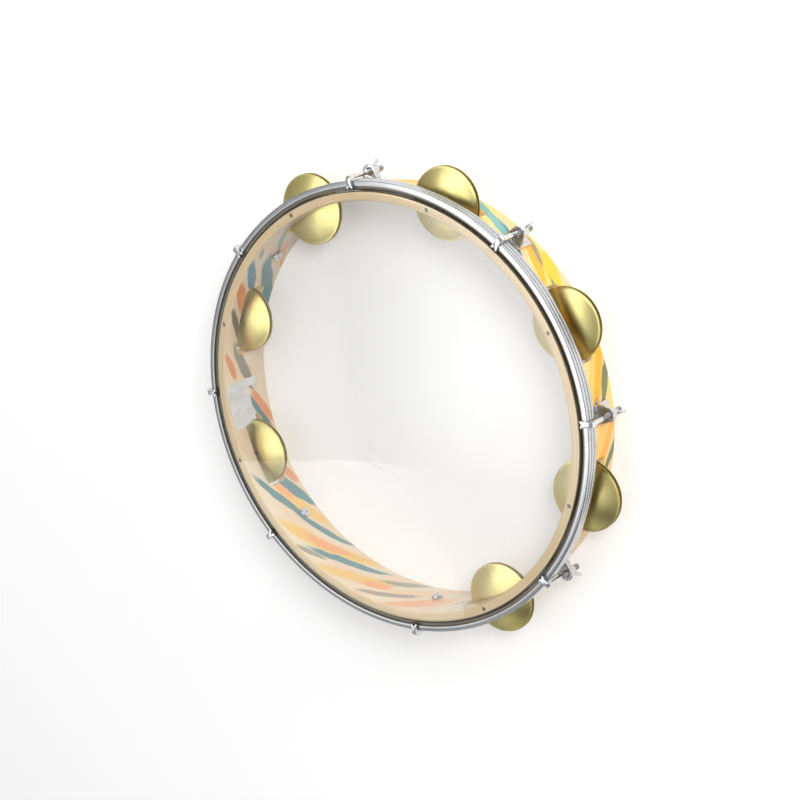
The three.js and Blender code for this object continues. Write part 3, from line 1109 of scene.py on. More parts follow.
class Finishes:
    """Every finish of the drum, each built once."""

    def __init__(self) -> None:
        """Build the shared effects and the materials."""
        effects = Effects()
        self.laminate = Laminate(effects).build()
        self.plywood = BarePlywood(effects).build()
        self.film = ClearFilm(effects).build()
        black, steel = (srgb(108, 104, 92), srgb(134, 128, 114)), (srgb(210, 211, 213), srgb(178, 179, 182))
        self.dark_hoop = RingMetal(effects, "black_anodised", *black, 0.38, 0.6).build()
        self.rolled_steel = RingMetal(effects, "rolled_steel", *steel, 0.22, relief=0.05).build()
        self.chrome = PlatedSteel(effects, "bright_chrome", srgb(224, 226, 228), srgb(190, 192, 195), 0.1).build()
        self.zinc = PlatedSteel(effects, "bright_zinc", srgb(216, 216, 216), srgb(176, 178, 182), 0.2, 0.9).build()
        self.wire = PlatedSteel(effects, "pin_wire", srgb(128, 122, 114), srgb(84, 78, 70), 0.4).build()
        self.brass = SpunBrass(effects).build()
        self.paper = LabelPaper(effects, PaperLabel.fold_angle).build()


# Sub-assemblies


STATIONS = (94.0, 50.0, 3.0, 319.0, 273.0, 222.0, 180.0, 137.5)
JINGLES = (71.0, 26.0, 341.0, 297.0, 200.0, 159.5, 116.0)


@dataclass
class Shell:
    """The bent plywood ring with its jingle slots, pin bores and screw holes."""

    finishes: Finishes
    outer: float = 0.1525
    depth: float = 0.045
    bearing_round: float = 0.0015
    edge_round: float = 0.0008
    slot_width: float = 0.054
    slot_height: float = 0.0188
    slot_corner: float = 0.004
    slot_round: float = 0.00045
    pin_bore: float = 0.0016
    bore_bottom: float = 0.0048
    screw_hole: float = 0.0023
    overshoot: float = 0.01
    face_depth: float = 0.00012
    steps: int = 256

    def section(self) -> list[Point]:
        """List the ring's section, with its rounded edges.

        Returns:
            The points, as radius and height.
        """
        small, large = self.edge_round, self.bearing_round
        return [
            *arc((self.outer - small, small), small, 270, 360, 3),
            *arc((self.outer - large, self.depth - large), large, 0, 90, 6),
            *arc((BORE + small, self.depth - small), small, 90, 180, 3),
            *arc((BORE + small, small), small, 180, 270, 3),
        ]

    def slot_cutters(self) -> list[Piece]:
        """Make the cutters of the slots: a box with four edges rounded, and its copies.

        Returns:
            One cutter for each slot.
        """
        clear_selection()
        bpy.ops.mesh.primitive_cube_add(size=1, location=(WALL_MIDDLE, 0, SLOT_MIDDLE))
        box = named("slot_cutter")
        box.scale = (2 * self.overshoot, self.slot_width, self.slot_height)
        settle(box)
        with editing(box):
            pick(box, Kind.EDGES, lambda _, way: abs(way.x) > 0.9)
            bpy.ops.mesh.bevel(offset=self.slot_corner, segments=6, affect="EDGES")
        return ring_of_copies(box, JINGLES)

    def is_clad(self, face: bpy.types.MeshPolygon) -> bool:
        """Tell whether a face lies upright in the shell's inner or outer side, by its place and normal."""
        middle, normal = face.center, face.normal
        reach = math.hypot(middle.x, middle.y)
        on_side = reach > self.outer - self.face_depth or reach < BORE + self.face_depth
        return on_side and abs(normal.z) < 0.1 and abs(normal.x * middle.x + normal.y * middle.y) > 0.98 * reach

    def build(self) -> None:
        """Build and dress the shell."""
        ring = turned("shell_ply", self.section(), self.steps)
        hole = bar("hole_cutter", self.screw_hole, -self.overshoot, self.overshoot, 20)
        holes = ring_of_copies(laid_out(hole, WALL_MIDDLE, SCREW_HEIGHT), STATIONS)
        carve(ring, joined([*self.slot_cutters(), *holes]), Carving.CUT)
        soften(ring, self.slot_round, 50.0)
        bore = bar("bore_cutter", self.pin_bore, self.bore_bottom, self.depth + 0.001, 20, (WALL_MIDDLE, 0))
        carve(ring, joined(ring_of_copies(bore, JINGLES)), Carving.CUT)
        dress(ring, self.finishes.laminate, self.finishes.plywood)
        for face in ring.data.polygons:
            face.material_index = 0 if self.is_clad(face) else 1
        hand_over(ring, DRUM, "shell")


@dataclass
class Head:
    """The clear film with its collar, the flesh hoop over the collar's lip, and the ridged counterhoop."""

    finishes: Finishes
    shell: Shell
    gap: float = 0.0003
    film: float = 0.0005
    collar_bottom: float = 0.0378
    lip_edge: float = 0.1565
    flesh_inner: float = 0.1536
    flesh_outer: float = 0.1574
    flesh_bottom: float = 0.0386
    flesh_top: float = 0.0436
    hoop_inner: float = 0.1556
    hoop_outer: float = 0.1595
    hoop_bottom: float = 0.0358
    hoop_top: float = 0.0454
    hoop_flange: float = 0.0015
    hoop_wall: float = 0.0018
    hoop_round: float = 0.0004
    hoop_edge: Point = (0.0003, 0.00015)
    ridges: int = 3
    ridge_depth: float = 0.0005
    ridge_steps: int = 9
    steps: int = 256

    def build_film(self) -> None:
        """Build the film: flat over the shell, rounded over the bearing edge, and down to an outward lip."""
        rounding = self.shell.bearing_round
        centre = (self.shell.outer - rounding, self.shell.depth - rounding)
        collar, under = self.shell.outer + self.gap, self.shell.depth + self.gap
        reaches = (0.0, 0.05, 0.1, centre[0] - 0.0006)
        section = [
            *[(reach, under) for reach in reaches],
            *arc(centre, rounding + self.gap, 90, 0, 6),
            (collar, self.collar_bottom),
            (self.lip_edge, self.collar_bottom),
            (self.lip_edge, self.collar_bottom + self.film),
            (collar + self.film, self.collar_bottom + self.film),
            *arc(centre, rounding + self.gap + self.film, 0, 90, 6),
            *[(reach, under + self.film) for reach in reversed(reaches)],
        ]
        film = turned("head_clear", section, self.steps, closed=False)
        dress(film, self.finishes.film)
        hand_over(film, DRUM, "head_film")

    def build_flesh_hoop(self) -> None:
        """Build the dark flesh hoop, a flat ring with soft edges."""
        low, high = (self.flesh_inner, self.flesh_bottom), (self.flesh_outer, self.flesh_top)
        hoop = turned("flesh_hoop_dark", rounded_outline(low, high, self.hoop_round, 3), self.steps)
        dress(hoop, self.finishes.dark_hoop)
        hand_over(hoop, DRUM, "flesh_hoop")

    def ridged_face(self) -> list[Point]:
        """List the outer face of the counterhoop, one rounded ridge over the other.

        Returns:
            The points from the bottom up, as radius and height.
        """
        height = (self.hoop_top - self.hoop_bottom) / self.ridges
        face: list[Point] = []
        for step in range(self.ridges * self.ridge_steps):
            share = step % self.ridge_steps / self.ridge_steps
            bulge = math.sin(math.pi * share) ** 0.45
            level = self.hoop_bottom + height * (step // self.ridge_steps + share)
            face.append((self.hoop_outer - self.ridge_depth * (1 - bulge), level))
        return face

    def build_counterhoop(self) -> None:
        """Build the counterhoop: a flange over the flesh hoop and a ridged wall."""
        under, soft = self.hoop_top - self.hoop_flange, self.hoop_round
        inside, valley = self.hoop_outer - self.hoop_wall, self.hoop_outer - self.ridge_depth
        section = [
            *self.ridged_face(),
            (valley, self.hoop_top - self.hoop_edge[1]),
            (valley - self.hoop_edge[0], self.hoop_top),
            *arc((self.hoop_inner + soft, self.hoop_top - soft), soft, 90, 180, 4),
            *arc((self.hoop_inner + soft, under + soft), soft, 180, 270, 3),
            (inside, under),
            (inside, self.hoop_bottom),
        ]
        hoop = turned("counterhoop_ridged", section, self.steps)
        dress(hoop, self.finishes.rolled_steel, sharp=40.0)
        hand_over(hoop, DRUM, "counterhoop")

    def build(self) -> None:
        """Build the film and both hoops."""
        self.build_film()
        self.build_flesh_hoop()
        self.build_counterhoop()


@dataclass
class Tensioner:
    """One tension station: the hook with its threaded rod, the lug, its screw and the wing nut."""

    finishes: Finishes
    head: Head
    rod_at: float = 0.1619
    rod: float = 0.002
    shank: float = 0.0017
    shank_edge: float = 0.0003
    rod_bottom: float = 0.0095
    thread_top: float = 0.027
    pitch: float = 0.0007
    thread_depth: float = 0.0002
    overlap: float = 0.0004
    claw_top: float = 0.0477
    claw_under: float = 0.0457
    claw_foot: float = 0.0427
    claw_bend: float = 0.0033
    claw_width: float = 0.0052
    claw_waist: float = 0.0034
    claw_shoulder: float = 0.0013
    claw_taper: Point = (0.0012, 0.00015)
    claw_edge: float = 0.0003
    prong_inner: float = 0.154
    prong_outer: float = 0.1553
    prong_notch: float = 0.0018
    prong_reach: float = 0.0015
    sheet: float = 0.0012
    base_at: float = 0.1528
    lug_width: float = 0.013
    lug_low: float = 0.008
    lug_high: float = 0.03
    lug_corner: float = 0.0025
    lug_edge: float = 0.00024
    ear_height: float = 0.023
    ear_tip: float = 0.005
    ear_hole: float = 0.0025
    bend: float = 0.0014
    spare: float = 0.001
    screw_shank: float = 0.002
    screw_length: float = 0.0083
    screw_head: float = 0.004
    screw_rise: float = 0.0022
    head_round: float = 0.0014
    recess: Point = (0.0019, 0.0011)
    recess_depth: float = 0.0013
    recess_width: float = 0.0007
    nut_top: float = 0.0215
    nut_height: float = 0.006
    nut_bore: float = 0.00235
    nut_edge: float = 0.0003
    hub: float = 0.0038
    neck: float = 0.0032
    wing_span: float = 0.014
    wing_rise: float = 0.0032
    wing_thickness: float = 0.0018
    wing_root: float = 0.0044
    wing_tip: float = 0.0015

    def build_claw(self) -> Piece:
        """Build the claw: a strap bent over the hoop, cut to its waist and its forked prongs.

        Returns:
            The claw as a closed solid.
        """
        inner, outer = self.rod_at - self.shank, self.rod_at + self.shank
        bend, prong = self.claw_bend, self.prong_outer - self.prong_inner
        side = [
            (inner, self.claw_foot),
            (outer, self.claw_foot),
            *arc((outer - bend, self.claw_top - bend), bend, 0, 90, 8),
            *arc((self.prong_outer, self.claw_top - prong), prong, 90, 180, 5),
            (self.prong_inner, self.claw_under - self.prong_reach),
            (self.prong_outer, self.claw_under - self.prong_reach),
            (self.prong_outer, self.claw_under),
            (inner, self.claw_under),
        ]
        half, waist, notch = self.claw_width / 2, self.claw_waist / 2, self.prong_notch / 2
        claw = plate("claw", [(x, -half, z) for x, z in side], (0, self.claw_width, 0))
        shoulder, clear = self.head.hoop_inner + self.claw_shoulder, 0.0001
        upper = [
            (outer + 2 * clear, self.shank),
            (inner, waist),
            (shoulder + self.claw_taper[0], waist),
            (shoulder, waist + self.claw_taper[1]),
            (self.prong_outer, half),
            (self.prong_inner - clear, half),
            (self.prong_inner - clear, notch),
            (self.head.hoop_inner - notch * 0.3, notch),
        ]
        outline = [*upper, (self.head.hoop_inner, 0.0), *[(x, -y) for x, y in reversed(upper)]]
        plan = plate("claw_plan", [(x, y, self.claw_foot - 0.002) for x, y in outline], (0, 0, 0.01))
        carve(claw, plan, Carving.KEEP_COMMON)
        soften(claw, self.claw_edge, 35.0)
        return claw

    def build_thread(self) -> Piece:
        """Build the threaded length: a circle a little off the axis, wound up by the screw modifier.

        Returns:
            The closed thread.
        """
        clear_selection()
        middle = (self.thread_depth * 0.9, 0, 0)
        bpy.ops.mesh.primitive_circle_add(vertices=14, radius=self.rod - self.thread_depth, location=middle)
        thread = named("thread")
        settle(thread)
        turns = int((self.thread_top - self.rod_bottom) / self.pitch)
        steps = {"steps": 12, "render_steps": 12}
        apply_modifier(thread, "SCREW", angle=math.tau, screw_offset=self.pitch, iterations=turns, axis="Z", **steps)
        with editing(thread):
            bpy.ops.mesh.fill_holes(sides=0)
            merge_and_turn_out()
        thread.data.transform(Matrix.Translation((self.rod_at, 0, self.rod_bottom)))
        return thread

    def build_hook(self) -> Piece:
        """Build a hook: the claw, a smooth shank and the threaded end.

        Returns:
            The pattern of all hooks.
        """
        low, high = self.thread_top - self.overlap, self.claw_top - self.claw_bend - 0.0001
        shank = bar("shank", self.shank, low, high, 28, (self.rod_at, 0))
        with editing(shank):
            pick(shank, Kind.FACES, lambda _, normal: normal.z < -0.9)
            bpy.ops.mesh.bevel(offset=self.shank_edge, segments=2, affect="EDGES")
        hook = joined([self.build_claw(), shank, self.build_thread()])
        hook.name = "hook_claw"
        dress(hook, self.finishes.chrome, sharp=36.0)
        return hook

    def build_leaf(self, name: str, way: float) -> Piece:
        """Build one of a lug's two pressed brackets: a bent strip, cut to the plan of its ear and its base's front.

        Args:
            name: The bracket's name.
            way: 1 for the bracket whose base points up, and -1 for the other.

        Returns:
            The bracket as a closed solid.
        """
        half, back = self.lug_width / 2, self.base_at - self.spare
        tip, root = self.rod_at + self.ear_tip, self.base_at + self.sheet + self.bend
        face = self.ear_height + way * self.sheet
        end = self.lug_high if way > 0 else self.lug_low
        section = [
            (self.base_at, self.ear_height),
            (tip, self.ear_height),
            (tip, face),
            *arc((root, face + way * self.bend), self.bend, -way * 90, -way * 180, 6),
            (self.base_at + self.sheet, end),
            (self.base_at, end),
        ]
        leaf = plate(name, [(x, -half, z) for x, z in section], (0, self.lug_width, 0))
        tip_line = arc((self.rod_at, 0.0), self.ear_tip, -60, 60, 16)
        plan = [(back, -half), (root, -half), *tip_line, (root, half), (back, half)]
        carve(leaf, plate("ear_plan", [(x, y, 0.0) for x, y in plan], (0, 0, 0.04)), Carving.KEEP_COMMON)
        front = rounded_outline((-half, self.lug_low), (half, self.lug_high), self.lug_corner, 6)
        carve(leaf, plate("base_front", [(back, y, z) for y, z in front], (0.02, 0, 0)), Carving.KEEP_COMMON)
        carve(leaf, bar("ear_hole", self.ear_hole, 0.02, 0.026, 24, (self.rod_at, 0)), Carving.CUT)
        hole = bar("screw_hole", self.head.shell.screw_hole, -0.003, 0.003, 20)
        carve(leaf, laid_out(hole, self.base_at, SCREW_HEIGHT), Carving.CUT)
        soften(leaf, self.lug_edge)
        return leaf

    def build_lug(self) -> Piece:
        """Build a lug: two brackets back to back, whose leaves are the ear, with the hole for the rod.

        Returns:
            The pattern of all lugs.
        """
        lug = joined([self.build_leaf("upper_leaf", 1.0), self.build_leaf("lower_leaf", -1.0)])
        lug.name = "lug_bracket"
        dress(lug, self.finishes.zinc, sharp=36.0)
        return lug

    def build_screw(self) -> Piece:
        """Build a lug screw: a pan head with a cross recess, on a plain shank.

        Returns:
            The pattern of all screws.
        """
        head, shank, seat = self.screw_head, self.screw_shank, self.screw_length
        rise, top, rounding = self.screw_rise, self.screw_length + self.screw_rise, self.head_round
        section = [
            (0.0, 0.0),
            (shank - 0.0003, 0.0),
            (shank, 0.0003),
            (shank, seat),
            (head - 0.0002, seat),
            (head, seat + 0.0002),
            (head, seat + rise * 0.3),
            *arc((head - rounding, seat + rise * 0.3), rounding, 12, 68, 4),
            (head * 0.35, seat + rise * 0.97),
            (0.0, top),
        ]
        screw = turned("lug_screw_cross", section, 36, closed=False)
        wide, narrow, above, below = *self.recess, top + 0.001, top - self.recess_depth
        corners = ((-wide, above), (wide, above), (narrow, below), (-narrow, below))
        outline = [(x, 0.0, z) for x, z in corners]
        for turn in (0.0, 90.0):
            arm = plate("recess", outline, (0, self.recess_width, 0))
            arm.data.transform(around(turn) @ Matrix.Translation((0, -self.recess_width / 2, 0)))
            carve(screw, arm, Carving.CUT)
        soften(screw, 0.00012, 50.0, 1)
        laid_out(screw, self.base_at + self.sheet, SCREW_HEIGHT, -90.0)
        dress(screw, self.finishes.zinc, sharp=36.0)
        return screw

    def build_nut(self) -> Piece:
        """Build a wing nut: a tapered hub with its bore, and two rounded wings welded on.

        Returns:
            The pattern of all wing nuts.
        """
        foot, bore, edge = -self.nut_height, self.nut_bore, self.nut_edge
        section = [
            (bore, foot + edge),
            (bore + edge, foot),
            (self.neck - edge, foot),
            (self.neck, foot + edge),
            (self.hub, foot / 3),
            (self.hub, -edge),
            (self.hub - edge, 0.0),
            (bore + edge, 0.0),
            (bore, -edge),
        ]
        nut = turned("wing_nut_cast", section, 40)
        root, half = (bore + self.neck) / 2, self.wing_thickness / 2
        tip = (self.wing_span / 2 - self.wing_tip, foot - self.wing_rise + self.wing_tip)
        outline = [(root, foot + self.wing_root), (root, foot), *arc(tip, self.wing_tip, 200, 380, 10)]
        wing = plate("wing", [(x, -half, z) for x, z in outline], (0, self.wing_thickness, 0))
        soften(wing, 0.0004, 50.0, 3)
        for wing in (wing, placed_copy(wing, "wing_other", around(180))):
            carve(nut, wing, Carving.WELD)
        nut.data.transform(Matrix.Translation((self.rod_at, 0, self.nut_top)))
        dress(nut, self.finishes.zinc, sharp=36.0)
        return nut

    def build(self) -> None:
        """Build each part once and copy it to every station."""
        patterns = [
            (self.build_hook(), "hook_{}", "hook_{}", "chromed_steel"),
            (self.build_lug(), DRUM, "lug_{}", "zinc_plate"),
            (self.build_screw(), DRUM, "lug_screw_{}", "zinc_plate"),
            (self.build_nut(), "wing_nut_{}", "wing_nut_{}", "zinc_plate"),
        ]
        for pattern, body, node, slot in patterns:
            for number, piece in enumerate(ring_of_copies(pattern, STATIONS), 1):
                hand_over(piece, body.format(number), node.format(number))


@dataclass
class Jingles:
    """The pins and the pairs of domed brass discs."""

    finishes: Finishes
    pin: float = 0.0013
    pin_bottom: float = 0.0051
    pin_top: float = 0.0445
    pin_round: float = 0.0004
    gap: float = 0.0018
    rim: float = 0.025
    lip: float = 0.0006
    dome: float = 0.006
    dome_steps: int = 18
    sheet: float = 0.0008
    hole: float = 0.002
    hole_edge: Point = (0.00025, 0.0002)
    steps: int = 96

    def build_pin(self) -> Piece:
        """Build a pin with both ends a little rounded.

        Returns:
            The pattern of all pins.
        """
        pin = bar("pin_pattern", self.pin, self.pin_bottom, self.pin_top, 20, (WALL_MIDDLE, 0))
        with editing(pin):
            pick(pin, Kind.FACES, lambda _, normal: abs(normal.z) > 0.9)
            bpy.ops.mesh.bevel(offset=self.pin_round, segments=3, affect="EDGES")
        dress(pin, self.finishes.wire)
        return pin

    def build_disc(self) -> Piece:
        """Build a disc: a thin dome with a flat lip, a loose hole and rounded edges, its rim down at zero.

        Returns:
            The pattern of all discs.
        """
        base, rise = self.rim - self.lip, self.dome - self.sheet
        sphere = (base * base + rise * rise) / (2 * rise)
        under = []
        for step in range(self.dome_steps + 1):
            radius = self.hole + (base - self.hole) * step / self.dome_steps
            under.append((radius, max(0.0, math.sqrt(sphere * sphere - radius * radius) - sphere + rise)))
        soft = self.sheet / 2
        (_, low), *under = under
        wide, deep = self.hole_edge
        section = [
            *under,
            (self.rim - soft, 0.0),
            *arc((self.rim - soft, soft), soft, -60, 60, 4),
            (self.rim - soft, self.sheet),
            *[(radius, height + self.sheet) for radius, height in reversed(under)],
            (self.hole + wide, low + self.sheet),
            (self.hole, low + self.sheet - deep),
            (self.hole, low + deep),
        ]
        disc = turned("disc_pattern", section, self.steps)
        layer = disc.data.uv_layers.new(name=DISC_MAP)
        for loop in disc.data.loops:
            place = disc.data.vertices[loop.vertex_index].co
            layer.data[loop.index].uv = [0.5 + value / (2 * self.rim) for value in place.xy]
        dress(disc, self.finishes.brass, sharp=50.0)
        return disc

    def build(self) -> None:
        """Build a pin and a disc once and copy them to every slot."""
        pin, disc = self.build_pin(), self.build_disc()
        up = Matrix.Translation((WALL_MIDDLE, 0, SLOT_MIDDLE + self.gap / 2))
        down = Matrix.Translation((WALL_MIDDLE, 0, SLOT_MIDDLE - self.gap / 2)) @ Matrix.Rotation(math.pi, 4, "X")
        for number, angle in enumerate(JINGLES, 1):
            hand_over(placed_copy(pin, f"pin_wire_{number}", around(angle)), DRUM, f"jingle_pin_{number}")
            for side, place in (("front", up), ("back", down)):
                piece = placed_copy(disc, f"jingle_cup_{side}_{number}", around(angle) @ place)
                hand_over(piece, f"jingle_{side}_{number}", f"jingle_{side}_{number}")
        bpy.data.objects.remove(pin)
        bpy.data.objects.remove(disc)


@dataclass
class PaperLabel:
    """The bare paper label on the inside of the shell, with a narrow strip hanging from its edge."""

    finishes: Finishes
    radius: float = 0.14565
    low: float = 0.0196
    high: float = 0.0428
    start: float = 178.2
    end: float = 191.4
    rows: int = 8
    columns: int = 22
    strip_angle: float = 2.2
    strip_steps: tuple[Point, ...] = ((0.0009, 0.0005), (0.0011, 0.0011), (0.0005, 0.0022), (0.0, 0.0026))
    tilt: float = -4.5
    thickness: float = 0.00012
    fold_angle: float = 180.6

    def build(self) -> None:
        """Build and dress the label: a line spun along the wall, its strip led over the screw head, then thickened."""
        rise = (self.high - self.low) / self.rows
        points = [(self.radius, 0.0, self.low + rise * row) for row in range(self.rows + 1)]
        sheet = drawn_line("paper_label", points, closed=False)
        sweep = math.radians(self.end - self.start)
        with editing(sheet):
            bpy.ops.mesh.spin(steps=self.columns, angle=-sweep, center=(0, 0, 0), axis=(0, 0, 1))
        turn = min(math.atan2(corner.co.y, corner.co.x) for corner in sheet.data.vertices)
        sheet.data.transform(around(self.start - math.degrees(turn)))
        limit = math.radians(self.start + self.strip_angle)

        def in_strip(place: Vector, way: Vector) -> bool:
            """Tell whether an edge is one of those that the strip hangs from."""
            return place.z < self.low + 1e-5 and abs(way.z) < 0.1 and math.atan2(place.y, place.x) % math.tau < limit

        with editing(sheet):
            pick(sheet, Kind.EDGES, in_strip)
            for lift, drop in self.strip_steps:
                bpy.ops.mesh.extrude_region_move(TRANSFORM_OT_translate={"value": (lift, 0, -drop)})
            merge_and_turn_out()
        middle = math.radians((self.start + self.end) / 2)
        axis = Vector((math.cos(middle), math.sin(middle), 0))
        centre = Matrix.Translation(axis * self.radius + Vector((0, 0, (self.low + self.high) / 2)))
        sheet.data.transform(centre @ Matrix.Rotation(math.radians(self.tilt), 4, axis) @ centre.inverted())
        apply_modifier(sheet, "SOLIDIFY", thickness=self.thickness, offset=0.0)
        with editing(sheet):
            merge_and_turn_out()
        dress(sheet, self.finishes.paper)
        hand_over(sheet, DRUM, None)


# Studio


WHITE = (1.0, 1.0, 1.0)
LOW_BOX = (
    *((-0.667, -0.290), (-0.625, -0.285), (-0.581, -0.279), (-0.550, -0.275), (-0.473, -0.266), (-0.447, -0.274)),
    *((-0.419, -0.285), (-0.400, -0.308), (-0.385, -0.334), (-0.374, -0.361), (-0.361, -0.382), (-0.353, -0.405)),
    *((-0.349, -0.439), (-0.412, -0.453), (-0.477, -0.451), (-0.539, -0.431), (-0.594, -0.396), (-0.637, -0.348)),
)
RIGHT_BOX = (
    *((-0.470, -0.268), (-0.400, -0.272), (-0.300, -0.268), (-0.214, -0.268), (-0.222, -0.298), (-0.236, -0.328)),
    *((-0.260, -0.362), (-0.289, -0.391), (-0.323, -0.415), (-0.353, -0.429), (-0.370, -0.400), (-0.400, -0.330)),
    (-0.430, -0.290),
)


def right_angled(low: Point, high: Point) -> tuple[Point, ...]:
    """Give the outline of a right-angled card from its lowest and highest corner."""
    return low, (high[0], low[1]), high, (low[0], high[1])


@dataclass(frozen=True)
class Card:
    """A card of light or shade over the drum that only metal and film reflect.

    Its outline is seen from above. Its glow changes to that of its rim over a share of its width and length.
    """

    name: str
    outline: tuple[Point, ...]
    height: float
    glow: float
    rim_glow: float
    soft: Point = (0.1, 0.1)


@dataclass(frozen=True)
class Lamp:
    """A soft square lamp that looks at the drum: the way to it, the length of its side and its power in watts."""

    name: str
    toward: Place
    size: float
    power: float


@dataclass
class Studio:
    """The pale floor, the lamps, the reflected cards and the camera at the photograph's viewing angle."""

    camera_at: Place = (0.70056, 0.33228, 0.94078)
    right: Place = (0.80539, -0.08955, -0.58595)
    up: Place = (-0.09239, 0.95747, -0.27333)
    lens: float = 78.215
    floor_half: float = 6.0
    floor_glow: float = 0.288
    floor_matte: float = 0.85
    world_fill: float = 0.4
    room_radius: float = 2.5
    room_height: float = 1.6
    room_lift: float = 0.02
    wall_glow: float = 0.28
    ceiling_glow: float = 0.42
    lamp_distance: float = 1.9
    lamps: tuple[Lamp, ...] = (
        Lamp("key_lamp", (0.8, 0.5, 0.75), 0.6, 18.0),
        Lamp("upper_lamp", (0.15, 0.85, 0.5), 1.2, 9.0),
        Lamp("side_lamp", (0.85, 0.5, 0.14), 0.5, 9.0),
        Lamp("top_lamp", (-0.2, 0.1, 1.0), 1.4, 6.0),
    )
    cards: tuple[Card, ...] = (
        Card("soft_box", right_angled((-0.5, -0.4), (0.22, 0.8)), 0.62, 2.4, 0.4, (0.278, 0.217)),
        Card("dark_flag", right_angled((-0.12, -0.8), (0.6, -0.38)), 0.61, 0.1, 0.35, (0.15, 0.12)),
        Card("front_card", right_angled((-0.7, -1.35), (-0.02, -0.8)), 0.62, 0.85, 0.35, (0.25, 0.25)),
        Card("high_card", right_angled((-1.85, -1.15), (-0.85, 0.0)), 1.5, 0.62, 0.42, (0.3, 0.3)),
        Card("low_box", LOW_BOX, 0.6, 1.4, 1.4),
        Card("right_box", RIGHT_BOX, 0.61, 1.15, 1.15),
    )

    def shown_rays(self, graph: Graph) -> Socket:
        """Give 1 for the rays that show the background itself, in a picture, in metal and through the film.

        Args:
            graph: The graph that needs it.

        Returns:
            The mask.
        """
        path = graph.add("ShaderNodeLightPath")
        seen = graph.math("MAXIMUM", path.outputs["Is Camera Ray"], path.outputs["Is Glossy Ray"])
        seen = graph.math("MAXIMUM", seen, path.outputs["Is Transmission Ray"])
        return graph.times(seen, self.before_matte(graph))

    def before_matte(self, graph: Graph) -> Socket:
        """Give 1 for rays that have met no matte surface yet, and 0 for the light that such surfaces gather."""
        return graph.math("LESS_THAN", graph.add("ShaderNodeLightPath").outputs["Diffuse Depth"], 0.5)

    def build_world(self) -> None:
        """Build the even light all round."""
        world = bpy.data.worlds.new("studio")
        bpy.context.scene.world = world
        world.use_nodes = True
        graph = Graph(world.node_tree)
        strength = graph.math("MAXIMUM", self.shown_rays(graph), self.world_fill)
        background = graph.add("ShaderNodeBackground", {"Color": WHITE, "Strength": strength})
        graph.add("ShaderNodeOutputWorld", {"Surface": background.outputs[0]})

    def build_floor(self) -> None:
        """Build the white floor, which keeps the drum's shadow."""
        clear_selection()
        bpy.ops.mesh.primitive_plane_add(size=2 * self.floor_half, location=(0, 0, 0))
        floor = named("floor")
        material, graph = start_material("floor_white")
        matte = graph.add("ShaderNodeBsdfDiffuse", {"Color": (0.86, 0.86, 0.87)}).outputs[0]
        faint = graph.add("ShaderNodeBsdfDiffuse", {"Color": (self.floor_matte,) * 3}).outputs[0]
        glow = graph.add("ShaderNodeEmission", {"Color": WHITE, "Strength": self.floor_glow}).outputs[0]
        shown = graph.add("ShaderNodeAddShader", {0: glow, 1: faint}).outputs[0]
        both = graph.add("ShaderNodeMixShader", {0: self.shown_rays(graph), 1: matte, 2: shown})
        close_material(graph, both.outputs[0])
        floor.data.materials.append(material)

    def show_in_reflections(self, obj: Piece, strength: Feed, graph: Graph) -> None:
        """Let a stage object glow in reflections only, so that it neither lights nor shades anything.

        Args:
            obj: The stage object.
            strength: How strongly it glows.
            graph: Its material's graph.
        """
        extra = graph.math("SUBTRACT", strength, self.world_fill)
        shown = graph.line(extra, self.before_matte(graph), self.world_fill)
        close_material(graph, graph.add("ShaderNodeEmission", {"Color": WHITE, "Strength": shown}).outputs[0])
        obj.visible_camera = obj.visible_diffuse = obj.visible_shadow = False

    def build_room(self) -> None:
        """Build the grey room that the metal reflects: a cylinder without a floor, darker low down."""
        room = bar("grey_room", self.room_radius, self.room_lift, self.room_lift + self.room_height, 48)
        with editing(room):
            pick(room, Kind.FACES, lambda _, normal: normal.z < -0.9)
            bpy.ops.mesh.delete(type="FACE")
        material, graph = start_material("room_grey")
        height = graph.add("ShaderNodeSeparateXYZ", {0: graph.place()}).outputs[2]
        strength = graph.span(height, 0.3 * self.room_height, self.room_height, self.wall_glow, self.ceiling_glow)
        room.data.materials.append(material)
        self.show_in_reflections(room, strength, graph)

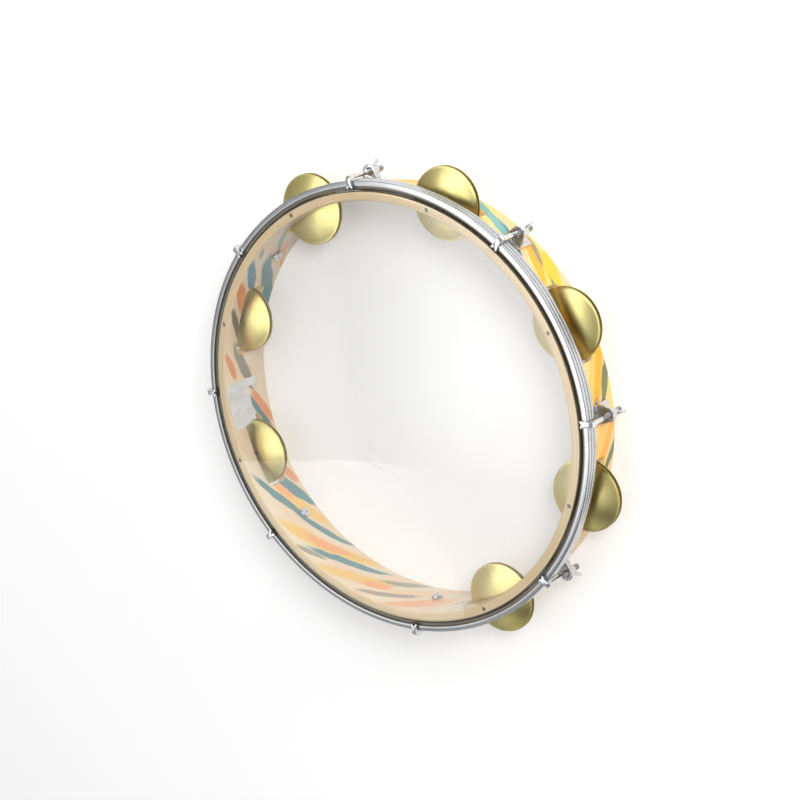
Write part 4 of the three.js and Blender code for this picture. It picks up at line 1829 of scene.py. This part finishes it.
    def build_card(self, card: Card) -> None:
        """Build one card, whose glow changes softly towards its rim.

        Args:
            card: The card's name, place and glow.
        """
        obj = drawn_line(card.name, [(*point, card.height) for point in card.outline])
        with editing(obj):
            bpy.ops.mesh.edge_face_add()
        material, graph = start_material(f"{card.name}_light")
        flat = graph.add("ShaderNodeSeparateXYZ", {0: graph.place()}).outputs
        insides = []
        for axis, soft in enumerate(card.soft):
            low, *_, high = sorted(point[axis] for point in card.outline)
            share = graph.math("DIVIDE", graph.math("SUBTRACT", flat[axis], low), high - low)
            rim = graph.math("ABSOLUTE", graph.line(share, 2.0, -1.0))
            insides.append(graph.span(rim, 1.0 - 2 * soft, 1.0, 1.0, 0.0))
        strength = graph.line(graph.times(*insides), card.glow - card.rim_glow, card.rim_glow)
        obj.data.materials.append(material)
        self.show_in_reflections(obj, strength, graph)

    def build_lamp(self, plan: Lamp) -> None:
        """Add a soft square lamp that looks at the drum.

        Args:
            plan: The lamp's name, direction, size and power.
        """
        data = bpy.data.lights.new(plan.name, "AREA")
        data.shape = "SQUARE"
        data.size = plan.size
        data.energy = plan.power
        lamp = bpy.data.objects.new(plan.name, data)
        way = Vector(plan.toward).normalized()
        lamp.location = way * self.lamp_distance
        lamp.rotation_mode = "QUATERNION"
        lamp.rotation_quaternion = (-way).to_track_quat("-Z", "Y")
        lamp.visible_glossy = False
        lamp.visible_transmission = False
        bpy.context.scene.collection.objects.link(lamp)

    def build_camera(self) -> None:
        """Add the camera at the photograph's viewing angle."""
        data = bpy.data.cameras.new("camera")
        data.lens = self.lens
        data.sensor_width = 36.0
        data.clip_start = 0.01
        camera = bpy.data.objects.new("camera", data)
        right, up = Vector(self.right).normalized(), Vector(self.up).normalized()
        back = right.cross(up)
        turn = Matrix((right, up, back)).transposed().to_4x4()
        camera.matrix_world = Matrix.Translation(self.camera_at) @ turn
        bpy.context.scene.collection.objects.link(camera)
        bpy.context.scene.camera = camera

    def build(self) -> None:
        """Build the whole studio."""
        self.build_camera()
        self.build_world()
        self.build_floor()
        self.build_room()
        for card in self.cards:
            self.build_card(card)
        for lamp in self.lamps:
            self.build_lamp(lamp)
        bpy.context.scene.view_settings.view_transform = "Standard"


def main() -> None:
    """Build the studio and the drum's sub-assemblies; each piece logs its face count as it is handed over."""
    logging.basicConfig(level=logging.INFO, format="%(name)s: %(message)s")
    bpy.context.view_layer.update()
    Studio().build()
    finishes = Finishes()
    shell = Shell(finishes)
    shell.build()
    head = Head(finishes, shell)
    head.build()
    Tensioner(finishes, head).build()
    Jingles(finishes).build()
    PaperLabel(finishes).build()
    bpy.context.view_layer.update()


if __name__ == "__main__":
    main()
